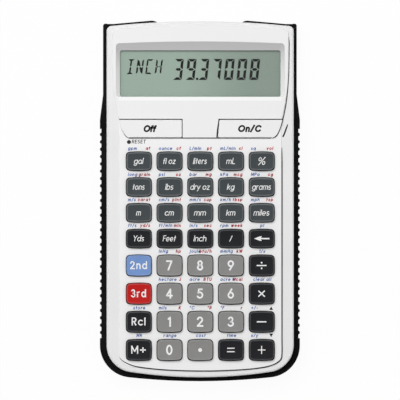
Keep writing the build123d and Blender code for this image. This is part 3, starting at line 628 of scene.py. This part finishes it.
def keyCap(word):
    # rings carried up the profile: flange, drafted flank, quarter-round rim, then inward over the dish
    s = keySettings
    centre, half, low, top = keyBox(word)
    surface = dishSurface(centre, half, top, s)

    def ring(inset, height):
        # rounded outline whose sides are bowed out by bow times (1 - v^2)
        line = roundedOutline(half[0] - s["sideBow"] - inset, half[1] - s["endBow"] - inset,
                              max(s["corner"] - inset, s["leastCorner"]))
        u, v = line[:, 0] / half[0], line[:, 1] / half[1]
        line[:, 0] += s["sideBow"] * np.sign(u) * (1 - v ** 2) * np.abs(u)
        line[:, 1] += s["endBow"] * np.sign(v) * (1 - u ** 2) * np.abs(v)
        return np.column_stack([line + centre, np.full(len(line), height)])

    rings, rim, flank = [], [], []

    def add(points, lightness, darkness):
        rings.append(points)
        rim.append(lightness)
        flank.append(darkness)

    wide, flangeTop = -s["flange"], low + s["flangeHeight"]
    for inset, height in ((wide, low), (wide, flangeTop), (0, flangeTop), (0, flangeTop + s["upright"])):
        add(ring(inset, height), 0, 1)
    foot = flangeTop + s["foot"]
    flankDraft = s["draft"] * s["flankDraft"]
    for share in np.linspace(0, 1, s["flankRings"]):
        add(ring(flankDraft * share, foot + (top - s["rim"] - foot) * share), 0, 1 - s["flankFade"] * share)
    for angle in np.radians(np.linspace(s["rimStart"], 90, s["rimRings"])):
        inset = flankDraft + (s["rim"] + s["draft"] - flankDraft) * (1 - np.cos(angle))
        add(ring(inset, top - s["rim"] * (1 - np.sin(angle))), np.sin(angle) ** 3,
            (1 - s["flankFade"]) * np.cos(angle) ** 2)
    for inset, glow in s["rimHighlight"]:
        level = ring(inset * mm, top)
        level[:, 2] = surface(level[:, 0], level[:, 1])
        add(level, glow, 0)
    edge = ring(s["rimHighlight"][-1][0] * mm, top)
    for share in s["dishRings"]:
        inner = edge.copy()
        inner[:, :2] = centre + (edge[:, :2] - centre) * share
        inner[:, 2] = surface(inner[:, 0], inner[:, 1])
        add(inner, 0, 0)
    rings = np.array(rings)
    cap = ringMesh("cap_" + word, rings)
    # the rim's painted highlight is lightest, and the flank's painted shade least dark, towards the side that the
    # sides' shares favour: the upper left
    facing = (rings[:, :, :2] - centre) / half
    facing *= np.abs(facing) ** s["sideEdge"]
    for name, levels, (base, toX, toY) in (("rim", rim, s["rimSides"]), ("flank", flank, s["flankSides"])):
        values = np.array(levels)[:, None] * (base + toX * facing[:, :, 0] + toY * facing[:, :, 1])
        values = np.clip(np.r_[values.ravel(), levels[0], levels[-1]], 0, s["most"]).astype(np.float32)
        cap.data.attributes.new(name, "FLOAT", "POINT").data.foreach_set("value", values)
    tone = keyTone[word]
    cap.data.materials.append(keyMaterials[tone])
    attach(cap, "key_" + word)
    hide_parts("key_" + word)
    return centre, surface


arrow = {
    "reach": 2.95 * mm, "head": 2.9 * mm, "barb": 1.12 * mm, "notch": 0.7 * mm, "shaft": 0.52 * mm,
    "tip": 0.04 * mm,                   # half width of a ribbon's pointed ends
    "swept": (0.36, 0.8, 0.4),          # shares of the barb: places at the neck and the end, half width at the neck
    "start": (0.4 * mm, 0.1 * mm),      # where the shaft starts behind the tip, and its half width there
}


def drawArrow(strips, x, y, a):
    # head of two swept-back ribbons from the tip, shaft from the notch between their barbs
    tip = x - a["reach"]
    neck = tip + a["head"] - a["notch"]
    atNeck, atEnd, thick = (share * a["barb"] for share in a["swept"])
    for way in (1, -1):
        line = [[tip, y + way * a["tip"] / 2], [neck, y + way * atNeck], [neck + a["notch"], y + way * atEnd]]
        strips.ribbon(line, [a["tip"], thick, a["tip"]])
    start, startWidth = a["start"]
    strips.ribbon([[tip + start, y], [neck, y], [x + a["reach"], y]], [startWidth, a["shaft"] / 2, a["shaft"] / 2])


for word in keyTone:
    centre, surface = keyCap(word)
    strips = Strips(surface, keySettings["legendLift"], keySettings["legendSink"])
    if word == "back":
        drawArrow(strips, *centre, arrow)
    else:
        legend, style, width = legends.get(word, (word, "digit", None))
        size, weight, spacing, slant, shift, foot = legendStyles[style]
        x, y = centre + np.array([shift, foot]) * mm
        write(strips, legend, x, y, size * mm, weight * mm, slant, 0.5, spacing, width and width * mm)
    strips.mesh("legend_" + word, whiteInk, "key_" + word, "key_white")
print("keys and legends made")

# printing on the front
face = {"level": 13.2 * mm, "panel": 13.45 * mm, "pod": 13.7 * mm}      # heights


def spot(x, y):
    # a photograph pixel as a place on the face
    originX, originY = cameraSettings["originPixel"]
    return np.array([(x - originX) * cameraSettings["pixel"], (originY - y) * cameraSettings["pixel"]]) * mm


def flat(height):
    # a level surface
    return lambda x, y: np.full(np.shape(x), height)


labelSettings = {
    "size": 1.36 * mm, "blueWeight": 0.29 * mm, "redWeight": 0.32 * mm, "slant": 0.18, "spacing": 0.16,
    "lift": 0.012 * mm, "sink": 0.05 * mm,
    # in photograph pixels: the columns' middles, how far a pair's ends lie from them, a row's foot under its middle
    "columns": (139.0, 169.75, 200.5, 231.3, 262.0), "left": 11.2, "right": 10.9, "foot": 1.6,
}
labelRows = [
    # over each key a blue word at the left and a red one at the right, or one blue word in the middle
    (148.4, [("gpm", "af"), ("ounce", "cf"), ("L/min", "pt"), ("mL/min", "cl"), ("sq", "vol")]),
    (174.5, [("long", "grain"), ("psi", "oz"), ("bar", "mg"), ("kPa", "mcg"), ("MPa", "cg")]),
    (199.7, [("m/s", "carat"), ("cm/s", "pint"), ("mm/s", "cup"), ("km/h", "tbsp"), ("mph", "tsp")]),
    (225.5, [("ft/s", "yd/s"), ("ft/min", "min"), ("in/s", "sec"), ("rpm", "week"), "pi"]),
    (251.3, ["", ("inHg", "hp"), ("joule", "btu/h"), ("mmHg", "kW"), "1/x"]),
    (279.4, ["", ("hectare", "J"), ("acre", "BTU"), ("acre ft", "kcal"), "clear all"]),
    (307.9, [
        "store", ("mils", "K"), (["degree", "C"], ["degree", "R"]), (["degree", "F"], "r"), ("+/-", ""),
    ]),
    (335.5, ["MR", "range", "cost", "time", ("x/y", "")]),
]
triangleSettings = {
    "column": 271.2, "rows": ((308.2, 1), (335.4, -1)),         # the way that each points, 1 for up
    "reach": 0.66 * mm, "base": 0.72 * mm, "tip": 0.02 * mm,
}
resetLabel = {
    "word": "RESET", "place": (131.6, 143.5), "size": 1.5 * mm, "weight": 0.25 * mm, "slant": 0.12,
    "spacing": 0.14, "width": 5.5 * mm,
}


def printing(height=face["panel"]):
    # strips of ink on a level of the face
    return Strips(flat(height), labelSettings["lift"], labelSettings["sink"])


s = labelSettings
blue, red, black, grey = printing(), printing(), printing(), printing()
for row, words in labelRows:
    for column, pair in zip(s["columns"], words):
        alone = isinstance(pair, str)
        first, second = (pair, "") if alone else pair
        for strips, word, weight, place, align in (
            (blue, first, s["blueWeight"], column - (0 if alone else s["left"]), 0.5 if alone else 0),
            (red, second, s["redWeight"], column + s["right"], 1),
        ):
            if word:
                write(strips, word, *spot(place, row + s["foot"]), s["size"], weight, s["slant"], align, s["spacing"])
for row, way in triangleSettings["rows"]:
    x, y = spot(triangleSettings["column"], row)
    reach = triangleSettings["reach"] * way
    black.ribbon([[x, y - reach], [x, y + reach]], [triangleSettings["base"], triangleSettings["tip"]])
r = resetLabel
write(grey, r["word"], *spot(*r["place"]), r["size"], r["weight"], r["slant"], 0, r["spacing"], r["width"])
blue.mesh("labels_blue", blueInk, "main_body", "key_blue")
red.mesh("labels_red", redInk, "main_body", "key_red")
black.mesh("labels_black", blackInk, "main_body", "key_black")
grey.mesh("label_reset", greyInk, "main_body", "key_black")

functionLegends = {
    "size": 2.8 * mm, "weight": 0.7 * mm, "slant": 0.2,
    # word, place in the photograph, width in mm, room between letters
    "keys": {"off": ("Off", (149.2, 132.2), 4.98, -0.065), "on": ("On/C", (248.9, 132.1), 9.1, 0.06)},
}
f = functionLegends
for word, (legend, place, width, spacing) in f["keys"].items():
    strips = printing(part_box("key_" + word)[1][2])
    write(strips, legend, *spot(*place), f["size"], f["weight"], f["slant"], 0.5, spacing, width * mm)
    strips.mesh("legend_" + word, blackInk, "key_" + word, "key_black")
print("labels printed")

# painted shade: dark lines where the steps of the pod and the key panel, and the gaps round the function keys, lie in
# shade
shadeLineSettings = {
    # each line as points of the photograph with its width in mm there
    "podLine": [
        (288.9, 36.5, 0.1), (289.3, 42.5, 0.34), (289.2, 48.5, 0.35), (289.15, 54.5, 0.35), (289.05, 60.5, 0.35),
        (289.0, 66.5, 0.35), (288.9, 72.5, 0.35), (288.6, 78.5, 0.35), (288.2, 84.5, 0.35), (287.75, 90.5, 0.35),
        (287.1, 96.5, 0.38), (286.3, 102.5, 0.4), (285.3, 108.5, 0.42), (284.47, 112.5, 0.42), (283.88, 115.5, 0.42),
        (283.3, 117.7, 0.42), (282.8, 119.5, 0.42), (282.3, 121.4, 0.42)],
    "podCorner": [
        (282.9, 119.3, 0.4), (282.4, 121, 0.4), (281.75, 123.5, 0.4), (281.1, 125.5, 0.4), (280.45, 127.5, 0.4),
        (279.8, 129.5, 0.4), (278.95, 131.5, 0.42), (277.95, 133.5, 0.44), (276.7, 135.5, 0.48), (275.5, 136.6, 0.5),
        (274.0, 137.35, 0.48), (272.2, 137.8, 0.44), (270.0, 138.0, 0.42)],
    "offCorner": [
        (121.6, 129.4, 0.04), (122.9, 131.6, 0.07), (124.1, 133.9, 0.1), (125.2, 135.6, 0.18), (126.7, 136.8, 0.28),
        (128.5, 137.6, 0.36), (131.0, 138.0, 0.38)],
    "slash": [
        (287.6, 124.3, 0.3), (287.06, 126.5, 0.5), (286.3, 128.5, 0.58), (285.6, 130.5, 0.6), (284.87, 132.5, 0.6),
        (284.1, 134.5, 0.6), (283.2, 136.3, 0.6), (282.7, 137.0, 0.4)],
    "panelLine": [
        (281.9, 147.5, 0.12), (282.0, 156, 0.32), (282.1, 180, 0.36), (282.1, 220, 0.37), (282.1, 260, 0.37),
        (282.1, 300, 0.37), (282.1, 340, 0.37), (282.05, 354, 0.38), (281.6, 358.0, 0.44), (281.0, 359.3, 0.46),
        (280.1, 360.5, 0.48), (278.9, 361.5, 0.5), (277.6, 362.5, 0.5), (276.2, 363.5, 0.5), (273.5, 364.7, 0.48),
        (270.5, 365.8, 0.47), (266.5, 366.8, 0.46), (262.5, 367.5, 0.46), (256.5, 368.4, 0.46), (250.5, 369.05, 0.46),
        (240.5, 369.8, 0.46), (220.5, 370.75, 0.46), (200.5, 371.0, 0.46), (180.5, 370.6, 0.46), (165.5, 369.9, 0.46),
        (155.5, 369.1, 0.46), (148.5, 368.35, 0.46), (142.5, 367.6, 0.46), (135.5, 366.4, 0.45), (130.5, 364.9, 0.42),
        (126.5, 363.1, 0.38), (122.6, 360.9, 0.3), (120.5, 358.9, 0.2), (119.4, 357.2, 0.06)],
    # which of the levels each of them lies on, and how deep it goes
    "levels": {"podLine": ("level", 0.06), "podCorner": ("panel", 0.2), "offCorner": ("pod", 0.2),
               "slash": ("level", 0.06), "panelLine": ("panel", 0.24)},
    "keyLines": [
        [(119.0, 119.3, 0.4), (182.4, 119.3, 0.4)],
        [(182.25, 118.8, 0.26), (182.25, 138.2, 0.26)],
        [(219.0, 118.8, 0.4), (218.3, 124.5, 0.42), (217.8, 128.5, 0.62), (217.2, 134.0, 0.58), (216.9, 138.3, 0.46)],
        [(218.6, 119.3, 0.4), (283.3, 119.3, 0.4)],
        [(128.5, 138.0, 0.38), (271.0, 138.0, 0.38)],
    ],
    "keyLineDepth": 0.06, "lift": 0.012 * mm, "points": 160,
}


def throughPoints(points, count):
    # smooth line through points with their widths: each span is a cubic whose slopes come from its neighbours
    points = np.array([(*spot(x, y), width * mm) for x, y, width in points])
    along = np.r_[0, np.cumsum(np.linalg.norm(np.diff(points, axis=0), axis=1))]
    slopes = np.gradient(points, along, axis=0)
    at = np.linspace(0, along[-1], count)
    span = np.clip(np.searchsorted(along, at) - 1, 0, len(along) - 2)
    length = (along[span + 1] - along[span])[:, None]
    t = ((at - along[span]) / length[:, 0])[:, None]
    return ((2 * t ** 3 - 3 * t ** 2 + 1) * points[span] + (t ** 3 - 2 * t ** 2 + t) * length * slopes[span]
            + (3 * t ** 2 - 2 * t ** 3) * points[span + 1] + (t ** 3 - t ** 2) * length * slopes[span + 1])


def shadeLineStrips(level, depth):
    # strips that go depth mm into a level of the face
    return Strips(flat(face[level]), shadeLineSettings["lift"], depth * mm)


# dark strips put where there is only shade: painted shade of the steps and gaps
stepShade = ink("stepShade", paint(30, 30, 32), 0.2)
for name, (level, depth) in shadeLineSettings["levels"].items():
    shadeLine = shadeLineStrips(level, depth)
    line = throughPoints(shadeLineSettings[name], shadeLineSettings["points"])
    shadeLine.ribbon(line[:, :2], line[:, 2] / 2)
    shadeLine.mesh("seam_" + name, stepShade, "main_body", "black_plastic")
keyShadeLines = shadeLineStrips("pod", shadeLineSettings["keyLineDepth"])
for line in shadeLineSettings["keyLines"]:
    keyShadeLines.ribbon([spot(x, y) for x, y, width in line], [width * mm / 2 for x, y, width in line])
keyShadeLines.mesh("seam_functionKeys", stepShade, "main_body", "black_plastic")

# outer edges of the function keys: a raised border of the pod, level with the keys at rest
borderSettings = {
    "level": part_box("key_on")[1][2],
    "keyEnd": ((31.665, 31.87), (30.46, 28.385), (28.155, 24.9)),       # three points of a key's outer end in mm
    "clear": 0.05, "deep": 1.04,        # gap to the key and depth of the border
    "over": 0.27, "skin": 0.012,        # a thin skin over the key's edge
    "points": 30,
    "on": [(282.15, 119.9), (281.4, 123.0), (280.6, 125.7), (279.8, 128.2), (279.0, 130.2), (278.0, 132.3),
           (277.0, 134.1), (275.8, 135.7), (274.2, 136.9), (272.4, 137.6)],
    "off": [(119.0, 119.9), (119.8, 122.9), (120.6, 125.9), (121.6, 128.7), (122.9, 131.3), (124.2, 133.6),
            (125.4, 135.2), (126.4, 136.2), (127.5, 137.1), (128.7, 137.7)],
}


def endCurve(side, out):
    # parabola through the three points of a key's end, moved outwards; t runs 0, 1/2, 1 over them
    t = np.linspace(0, 1, borderSettings["points"])[:, None]
    first, centre, last = (np.array(p) * [side, 1] * mm for p in borderSettings["keyEnd"])
    line = first * (1 - t) * (1 - 2 * t) + centre * 4 * t * (1 - t) + last * t * (2 * t - 1)
    run = np.gradient(line, axis=0)
    away = np.stack([-run[:, 1], run[:, 0]], -1) * side
    return line + away / np.linalg.norm(away, axis=1)[:, None] * out * mm


b = borderSettings
functionKey = mouldedPlastic("functionKey", paintGrey(243), 0.4, 0.4, 0.008)
for word, side in (("off", -1), ("on", 1)):
    border = Strips(flat(b["level"]), 0, b["deep"] * mm)
    outer = throughPoints([(x, y, 0) for x, y in b[word]], b["points"])[:, :2]
    for out, lift, sink in ((b["clear"], 0, b["deep"]), (-b["over"], b["skin"], b["skin"])):
        edges = (outer, endCurve(side, out))
        border.between(*edges[::side], lift * mm, sink * mm)
    border.mesh("border_" + word, functionKey, "main_body", "white_plastic")
print("shade lines drawn")

# liquid crystal display
displaySettings = {
    "level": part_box("lcd_glass")[1][2], "lift": 0.015 * mm, "sink": 0.012 * mm,
    # first and pitch are photograph pixels; "wide" is whether the middle bar reaches right across
    "figures": {
        "signs": "3937008", "first": (172.9, 79.9), "pitch": 12.74, "width": 3.5 * mm, "height": 8.3 * mm,
        "thick": 1.05 * mm, "slant": 0.105, "gap": 0.13 * mm, "wide": True,
    },
    "word": {
        "signs": "INCH", "first": (126.4, 74.1), "pitch": 9.4, "width": 2.55 * mm, "height": 5.9 * mm,
        "thick": 0.66 * mm, "slant": 0.1365, "gap": 0.078 * mm, "wide": False,
    },
    "point": (197.2, 78.8), "pointRadius": 0.5 * mm, "barEnd": 0.02,
}
segmentsOf = {
    "0": "abcdef", "3": "abcdg", "7": "abc", "8": "abcdefg", "9": "abcdfg",
    "I": "adil", "N": "efbchm", "C": "adef", "H": "efbcgk",
}


def drawSegments(strips, sign, x, y, style):
    # outer bars a to f as on a seven-segment figure, cut slantwise at the corners and parted by gaps;
    # the middle bar g and the letters' inner bars h to m have pointed ends
    width, height, t, g, slant = (style[key] for key in ("width", "height", "thick", "gap", "slant"))
    half, centre = height / 2, width / 2
    corners = {
        # the two ends of a bar's left edge, then those of its right edge
        "a": ((g, height), (width - g, height), (t + g, height - t), (width - t - g, height - t)),
        "b": (
            (width - t, half + t / 2 + g), (width - t, height - t - g), (width, half + g / 2), (width, height - g),
        ),
        "c": ((width - t, t + g), (width - t, half - t / 2 - g), (width, g), (width, half - g / 2)),
        "d": ((t + g, t), (width - t - g, t), (g, 0), (width - g, 0)),
        "e": ((0, g), (0, half - g / 2), (t, t + g), (t, half - t / 2 - g)),
        "f": ((0, half + g / 2), (0, height - g), (t, half + t / 2 + g), (t, height - t - g)),
    }
    left, right, low, high = t / 2, width - t / 2, t / 2, height - t / 2
    inner = {
        "g": ((left, half), (right if style["wide"] else centre, half)), "k": ((centre, half), (right, half)),
        "i": ((centre, half), (centre, high)), "l": ((centre, low), (centre, half)),
        "h": ((left, high), (centre, half)), "m": ((centre, half), (right, low)),
    }
    for bar in segmentsOf[sign]:
        if bar in corners:
            edges = np.array(corners[bar])
            edges[:, 0] += edges[:, 1] * slant
            strips.between(edges[:2] + [x, y], edges[2:] + [x, y])
            continue
        start, end = (np.array(p) for p in inner[bar])
        run = (end - start) / np.linalg.norm(end - start)
        start, end = start + run * g, end - run * g
        line = np.array([start, start + run * t / 2, (start + end) / 2, end - run * t / 2, end])
        line[:, 0] += line[:, 1] * slant
        tip = displaySettings["barEnd"]
        strips.ribbon(line + [x, y], np.array([tip, 1, 1, 1, tip]) * t / 2)


d = displaySettings
shown = Strips(flat(d["level"]), d["lift"], d["sink"])
for style in (d["figures"], d["word"]):
    for n, sign in enumerate(style["signs"]):
        drawSegments(shown, sign, *spot(style["first"][0] + n * style["pitch"], style["first"][1]), style)
shown.disc(*spot(*d["point"]), d["pointRadius"])
segmentInk = Shader("segmentInk")
segmentTone = segmentInk.cloudy(segmentInk.noise(900), paint(8, 11, 11), paint(14, 18, 17))
shown.mesh("display_segments", segmentInk.finish({
    "Base Color": segmentTone, "Roughness": 0.3, "Specular IOR Level": 0.1,
}), "main_body", "lcd")
print("display drawn")

# finishes of the carried-over parts
windowSettings = {"width": 63.3, "height": 18.3, "middle": 50.115}      # in mm, on the face
windowLow = windowSettings["middle"] - windowSettings["height"] / 2
windowHigh = windowSettings["middle"] + windowSettings["height"] / 2
frontSettings = {
    # heights in mm that tell the recess, the panel round the keys and the top of the pod apart
    "recess": (12.3, 13.665), "panel": (13.4, 13.5), "pod": 13.65,
    # how far the recess's slopes and its lower sill reach beyond the window
    "slopes": {"side": 1.9, "below": 0.1, "above": 3.75}, "sill": {"side": 0.4, "below": 1.5},
    "slopeTones": ((0.0, 243), (0.5, 232), (0.8, 210), (0.85, 199), (1.0, 195)), "slopeSpan": 3.6,
    "tones": (236, 240), "panelTone": 247, "podTone": 243, "sillTone": 254,
}


def between(value, low, high):
    # 1 where the value lies between the two, and 0 elsewhere
    return (value > low) * (value < high)


def frontPaint():
    # white moulding; the slopes of the display recess carry painted shade, darkest along the top, the sill under the
    # window a painted highlight, and the key panel is painted lighter to lift the shade between the keys
    f = frontSettings
    shader = Shader("caseFront")
    x, y, z = (shader.along(axis) for axis in "XYZ")
    fine = shader.noise(grainSettings["fine"])
    cloud = shader.noise(grainSettings["cloud"], 3)
    white = shader.cloudy(cloud, *(paintGrey(tone) for tone in f["tones"]))
    slopes, sill = f["slopes"], f["sill"]
    inside = (
        between(z, *f["recess"]) * (abs(x) < windowSettings["width"] / 2 + slopes["side"])
        * between(y, windowLow - slopes["below"], windowHigh + slopes["above"])
    )
    # painted shade on the recess's slopes
    grey = shader.ramp(shader.band(y, windowLow, windowHigh + f["slopeSpan"]),
                       [(place, paintGrey(tone)) for place, tone in f["slopeTones"]])
    # painted highlight on the sill under the window
    lowSill = (
        (z > f["recess"][0]) * (abs(x) < windowSettings["width"] / 2 + sill["side"])
        * between(y, windowLow - sill["below"], windowLow + slopes["below"])
    )
    top = shader.mix(z > f["pod"], white, paintGrey(f["podTone"]))
    # the key panel is painted lighter: painted light that lifts the shade the keys cast between them
    bright = shader.mix(between(z, *f["panel"]), top, paintGrey(f["panelTone"]))
    return shader.finish({
        "Base Color": shader.mix(lowSill, shader.mix(inside, bright, grey), paintGrey(f["sillTone"])),
        "Roughness": 0.4 + (fine - 0.5) * grainSettings["fineGloss"],
        "Normal": shader.bump(fine, 0.4, grainSettings["depth"]),
    })


coverSettings = {
    "fine": 3600, "cloud": 90, "tones": ((2, 2, 3), (6, 6, 7)),
    "greyerTop": (26, 26, 27), "greyerTopFrom": (8.2, 8.9), "greyerTopShare": 0.3,       # heights in mm where it is greyer and glossier, in patches
    "roughness": (0.45, 0.2, 0.08),         # middle, grain's share, what the greyer patches take away
    "gloss": 0.07, "grain": 0.5, "depth": 0.00003,
}


def coverPaint():
    # black moulding with a fine grain; near the top of its walls it is a little greyer and glossier, in patches
    c = coverSettings
    shader = Shader("cover")
    fine = shader.noise(c["fine"], 3)
    cloud = shader.noise(c["cloud"], 3)
    greyerTop = shader.band(shader.along("Z"), *c["greyerTopFrom"]) * shader.band(cloud, 0.45, 0.7)
    tone = shader.cloudy(cloud, *(paint(*tone) for tone in c["tones"]))
    roughness, uneven, polish = c["roughness"]
    return shader.finish({
        "Base Color": shader.mix(greyerTop * c["greyerTopShare"], tone, paint(*c["greyerTop"])),
        "Roughness": roughness + (fine - 0.5) * uneven - greyerTop * polish,
        "Specular IOR Level": c["gloss"],
        "Normal": shader.bump(fine, c["grain"], c["depth"]),
    })


glassSettings = {
    "fine": 2600,
    "reach": 31,            # the tones run from left to right over this many mm on each side
    "tones": (
        (0.0, (174, 197, 182)), (0.4, (176, 198, 182)), (0.62, (166, 186, 172)), (0.8, (156, 175, 162)),
        (1.0, (154, 172, 160)),
    ),
    "shade": (70, 84, 76), "shadeShare": 0.7, "shadeFrom": 1.3, "shadeOver": 0.1,
    "roughness": (0.28, 0.06),
}


def glassPaint():
    # liquid crystal: grey-green, paler at the left, with a painted shadow under the window's upper edge
    g = glassSettings
    shader = Shader("lcdGlass")
    across = shader.band(shader.along("X"), -g["reach"], g["reach"])
    tone = shader.ramp(across, [(place, paint(*colour)) for place, colour in g["tones"]])
    shade = shader.band(shader.along("Y"), windowHigh - g["shadeFrom"], windowHigh + g["shadeOver"]) ** 2
    roughness, uneven = g["roughness"]
    return shader.finish({
        "Base Color": shader.mix(shade * g["shadeShare"], tone, paint(*g["shade"])),
        "Roughness": roughness + (shader.noise(g["fine"]) - 0.5) * uneven,
    })


def metalPaint(name, colour, roughness, stretch):
    # plated metal with fine drawn lines
    shader = Shader(name)
    spread = shader.add("ShaderNodeMapping", {}, {"Vector": shader.place(), "Scale": stretch})
    lines = shader.add("ShaderNodeTexNoise", {}, {"Vector": spread, "Scale": 1.0, "Detail": 3.0})
    return shader.finish({
        "Base Color": shader.cloudy(lines, toned(colour, 0.86), colour),
        "Metallic": 1.0,
        "Roughness": roughness + (lines - 0.5) * 0.2,
        "Normal": shader.bump(lines, 0.2, 0.00001),
    })


def boardPaint():
    # solder mask over copper runs: bands at one distance from the middles of square-cornered cells
    shader = Shader("board")
    cells = shader.add("ShaderNodeTexVoronoi", {"distance": "MANHATTAN"}, {"Vector": shader.place(), "Scale": 260})
    runs = shader.band(cells, 0.28, 0.34) * (1 - shader.band(cells, 0.44, 0.5))
    return shader.finish({
        "Base Color": shader.mix(runs, paint(22, 84, 52), paint(46, 120, 72)),
        "Roughness": 0.36 + runs * 0.08,
        "Normal": shader.bump(runs, 0.4, 0.00004),
    })


def rubberPaint(name, colour, stripes=0):
    # silicone: matt, slightly cloudy; the contact strip is layered dark and pale across X
    shader = Shader(name)
    cloud = shader.noise(240, 3)
    tone = shader.cloudy(cloud, toned(colour, 0.9), colour)
    if stripes:
        values = {"Vector": shader.place(), "Scale": stripes}
        waves = shader.add("ShaderNodeTexWave", {"bands_direction": "X"}, values)
        tone = shader.mix(waves, tone, paint(34, 34, 36))
    return shader.finish({
        "Base Color": tone,
        "Roughness": 0.62 + (cloud - 0.5) * 0.2,
        "Normal": shader.bump(cloud, 0.2, 0.00004),
    })


def lensPaint():
    # clear lens, a little smeared
    shader = Shader("clearLens")
    smear = shader.noise(70, 3)
    return shader.finish({
        "Base Color": (0.1, 0.1, 0.1, 1), "Alpha": 0.08, "Specular IOR Level": 1.0,
        "Roughness": 0.04 + shader.band(smear, 0.5, 0.8) * 0.05,
    })


finishes = {
    "front_case": frontPaint(),
    "rear_case": mouldedPlastic("caseRear", paint(234, 234, 233), 0.52, 0.7),
    "battery_door": mouldedPlastic("door", paint(232, 232, 231), 0.5, 0.7),
    "slide_cover": coverPaint(),
    "key_off": functionKey,
    "key_on": functionKey,
    "reset_button": mouldedPlastic("plunger", paint(8, 8, 9), 0.5),
    "lcd_carrier": mouldedPlastic("carrier", paint(214, 214, 210), 0.5),
    "zebra_strip": rubberPaint("contactRubber", paint(168, 168, 170), 900),
    "dome_sheet": rubberPaint("domeRubber", paint(190, 193, 196)),
    "processor_blob": mouldedPlastic("epoxy", paint(18, 18, 20), 0.22, 0.3, 0.1),
    "board_components": mouldedPlastic("component", paint(58, 54, 48), 0.4),
    "circuit_board": boardPaint(),
    "coin_cell": metalPaint("cell", paint(206, 206, 204), 0.28, (900, 60, 900)),
    "case_screws": metalPaint("screws", paint(190, 190, 193), 0.3, (1500, 1500, 200)),
    "battery_spring_negative": metalPaint("contactStrip", paint(205, 200, 186), 0.26, (60, 1200, 1200)),
    "lcd_glass": glassPaint(),
    "display_window": lensPaint(),
}
finishes["battery_door_screws"] = finishes["case_screws"]
finishes["battery_clip_positive"] = finishes["battery_spring_negative"]
for node, finish in finishes.items():
    nodes[node].data.materials.clear()
    nodes[node].data.materials.append(finish)
print("finishes set:", len(finishes))

# floor and world
floorSettings = {"size": 4.0, "drop": 0.0001, "tone": (0.92, 0.92, 0.92, 1), "seen": 0.95}
floorShader = Shader("floor")
whole = floorShader.add("ShaderNodeEmission", {}, {"Color": (1, 1, 1, 1), "Strength": 1.0})
matte = floorShader.add("ShaderNodeBsdfDiffuse", {}, {"Color": floorSettings["tone"]})
cameraRay, glossyRay, clearRay = (
    floorShader.add("ShaderNodeLightPath", out="Is " + kind + " Ray")
    for kind in ("Camera", "Glossy", "Transmission")
)
seen = (cameraRay + glossyRay + clearRay) * floorSettings["seen"]
floorShader.close(floorShader.add("ShaderNodeMixShader", {}, {0: seen, 1: matte, 2: whole}))
square = np.array([[-1, -1, 0], [1, -1, 0], [1, 1, 0], [-1, 1, 0]])
corners = square * floorSettings["size"] - [0, 0, floorSettings["drop"]]
floor = meshObject("floor", corners, [[0, 1, 2, 3]], smooth=False)
floor.data.materials.append(floorShader.material)

sky = Shader("world", bpy.data.worlds)
bpy.context.scene.world = sky.material
direction = sky.add("ShaderNodeTexCoord", out="Generated")
upwards = sky.add("ShaderNodeSeparateXYZ", {}, {"Vector": direction}, out="Z")
dim = lightSettings["horizon"]
sky.close(sky.add("ShaderNodeBackground", {}, {
    "Color": sky.ramp(upwards, [(0.0, (dim, dim, dim, 1)), (0.9, (1, 1, 1, 1))]),
    "Strength": lightSettings["world"],
}), "World")
print("floor and world made")
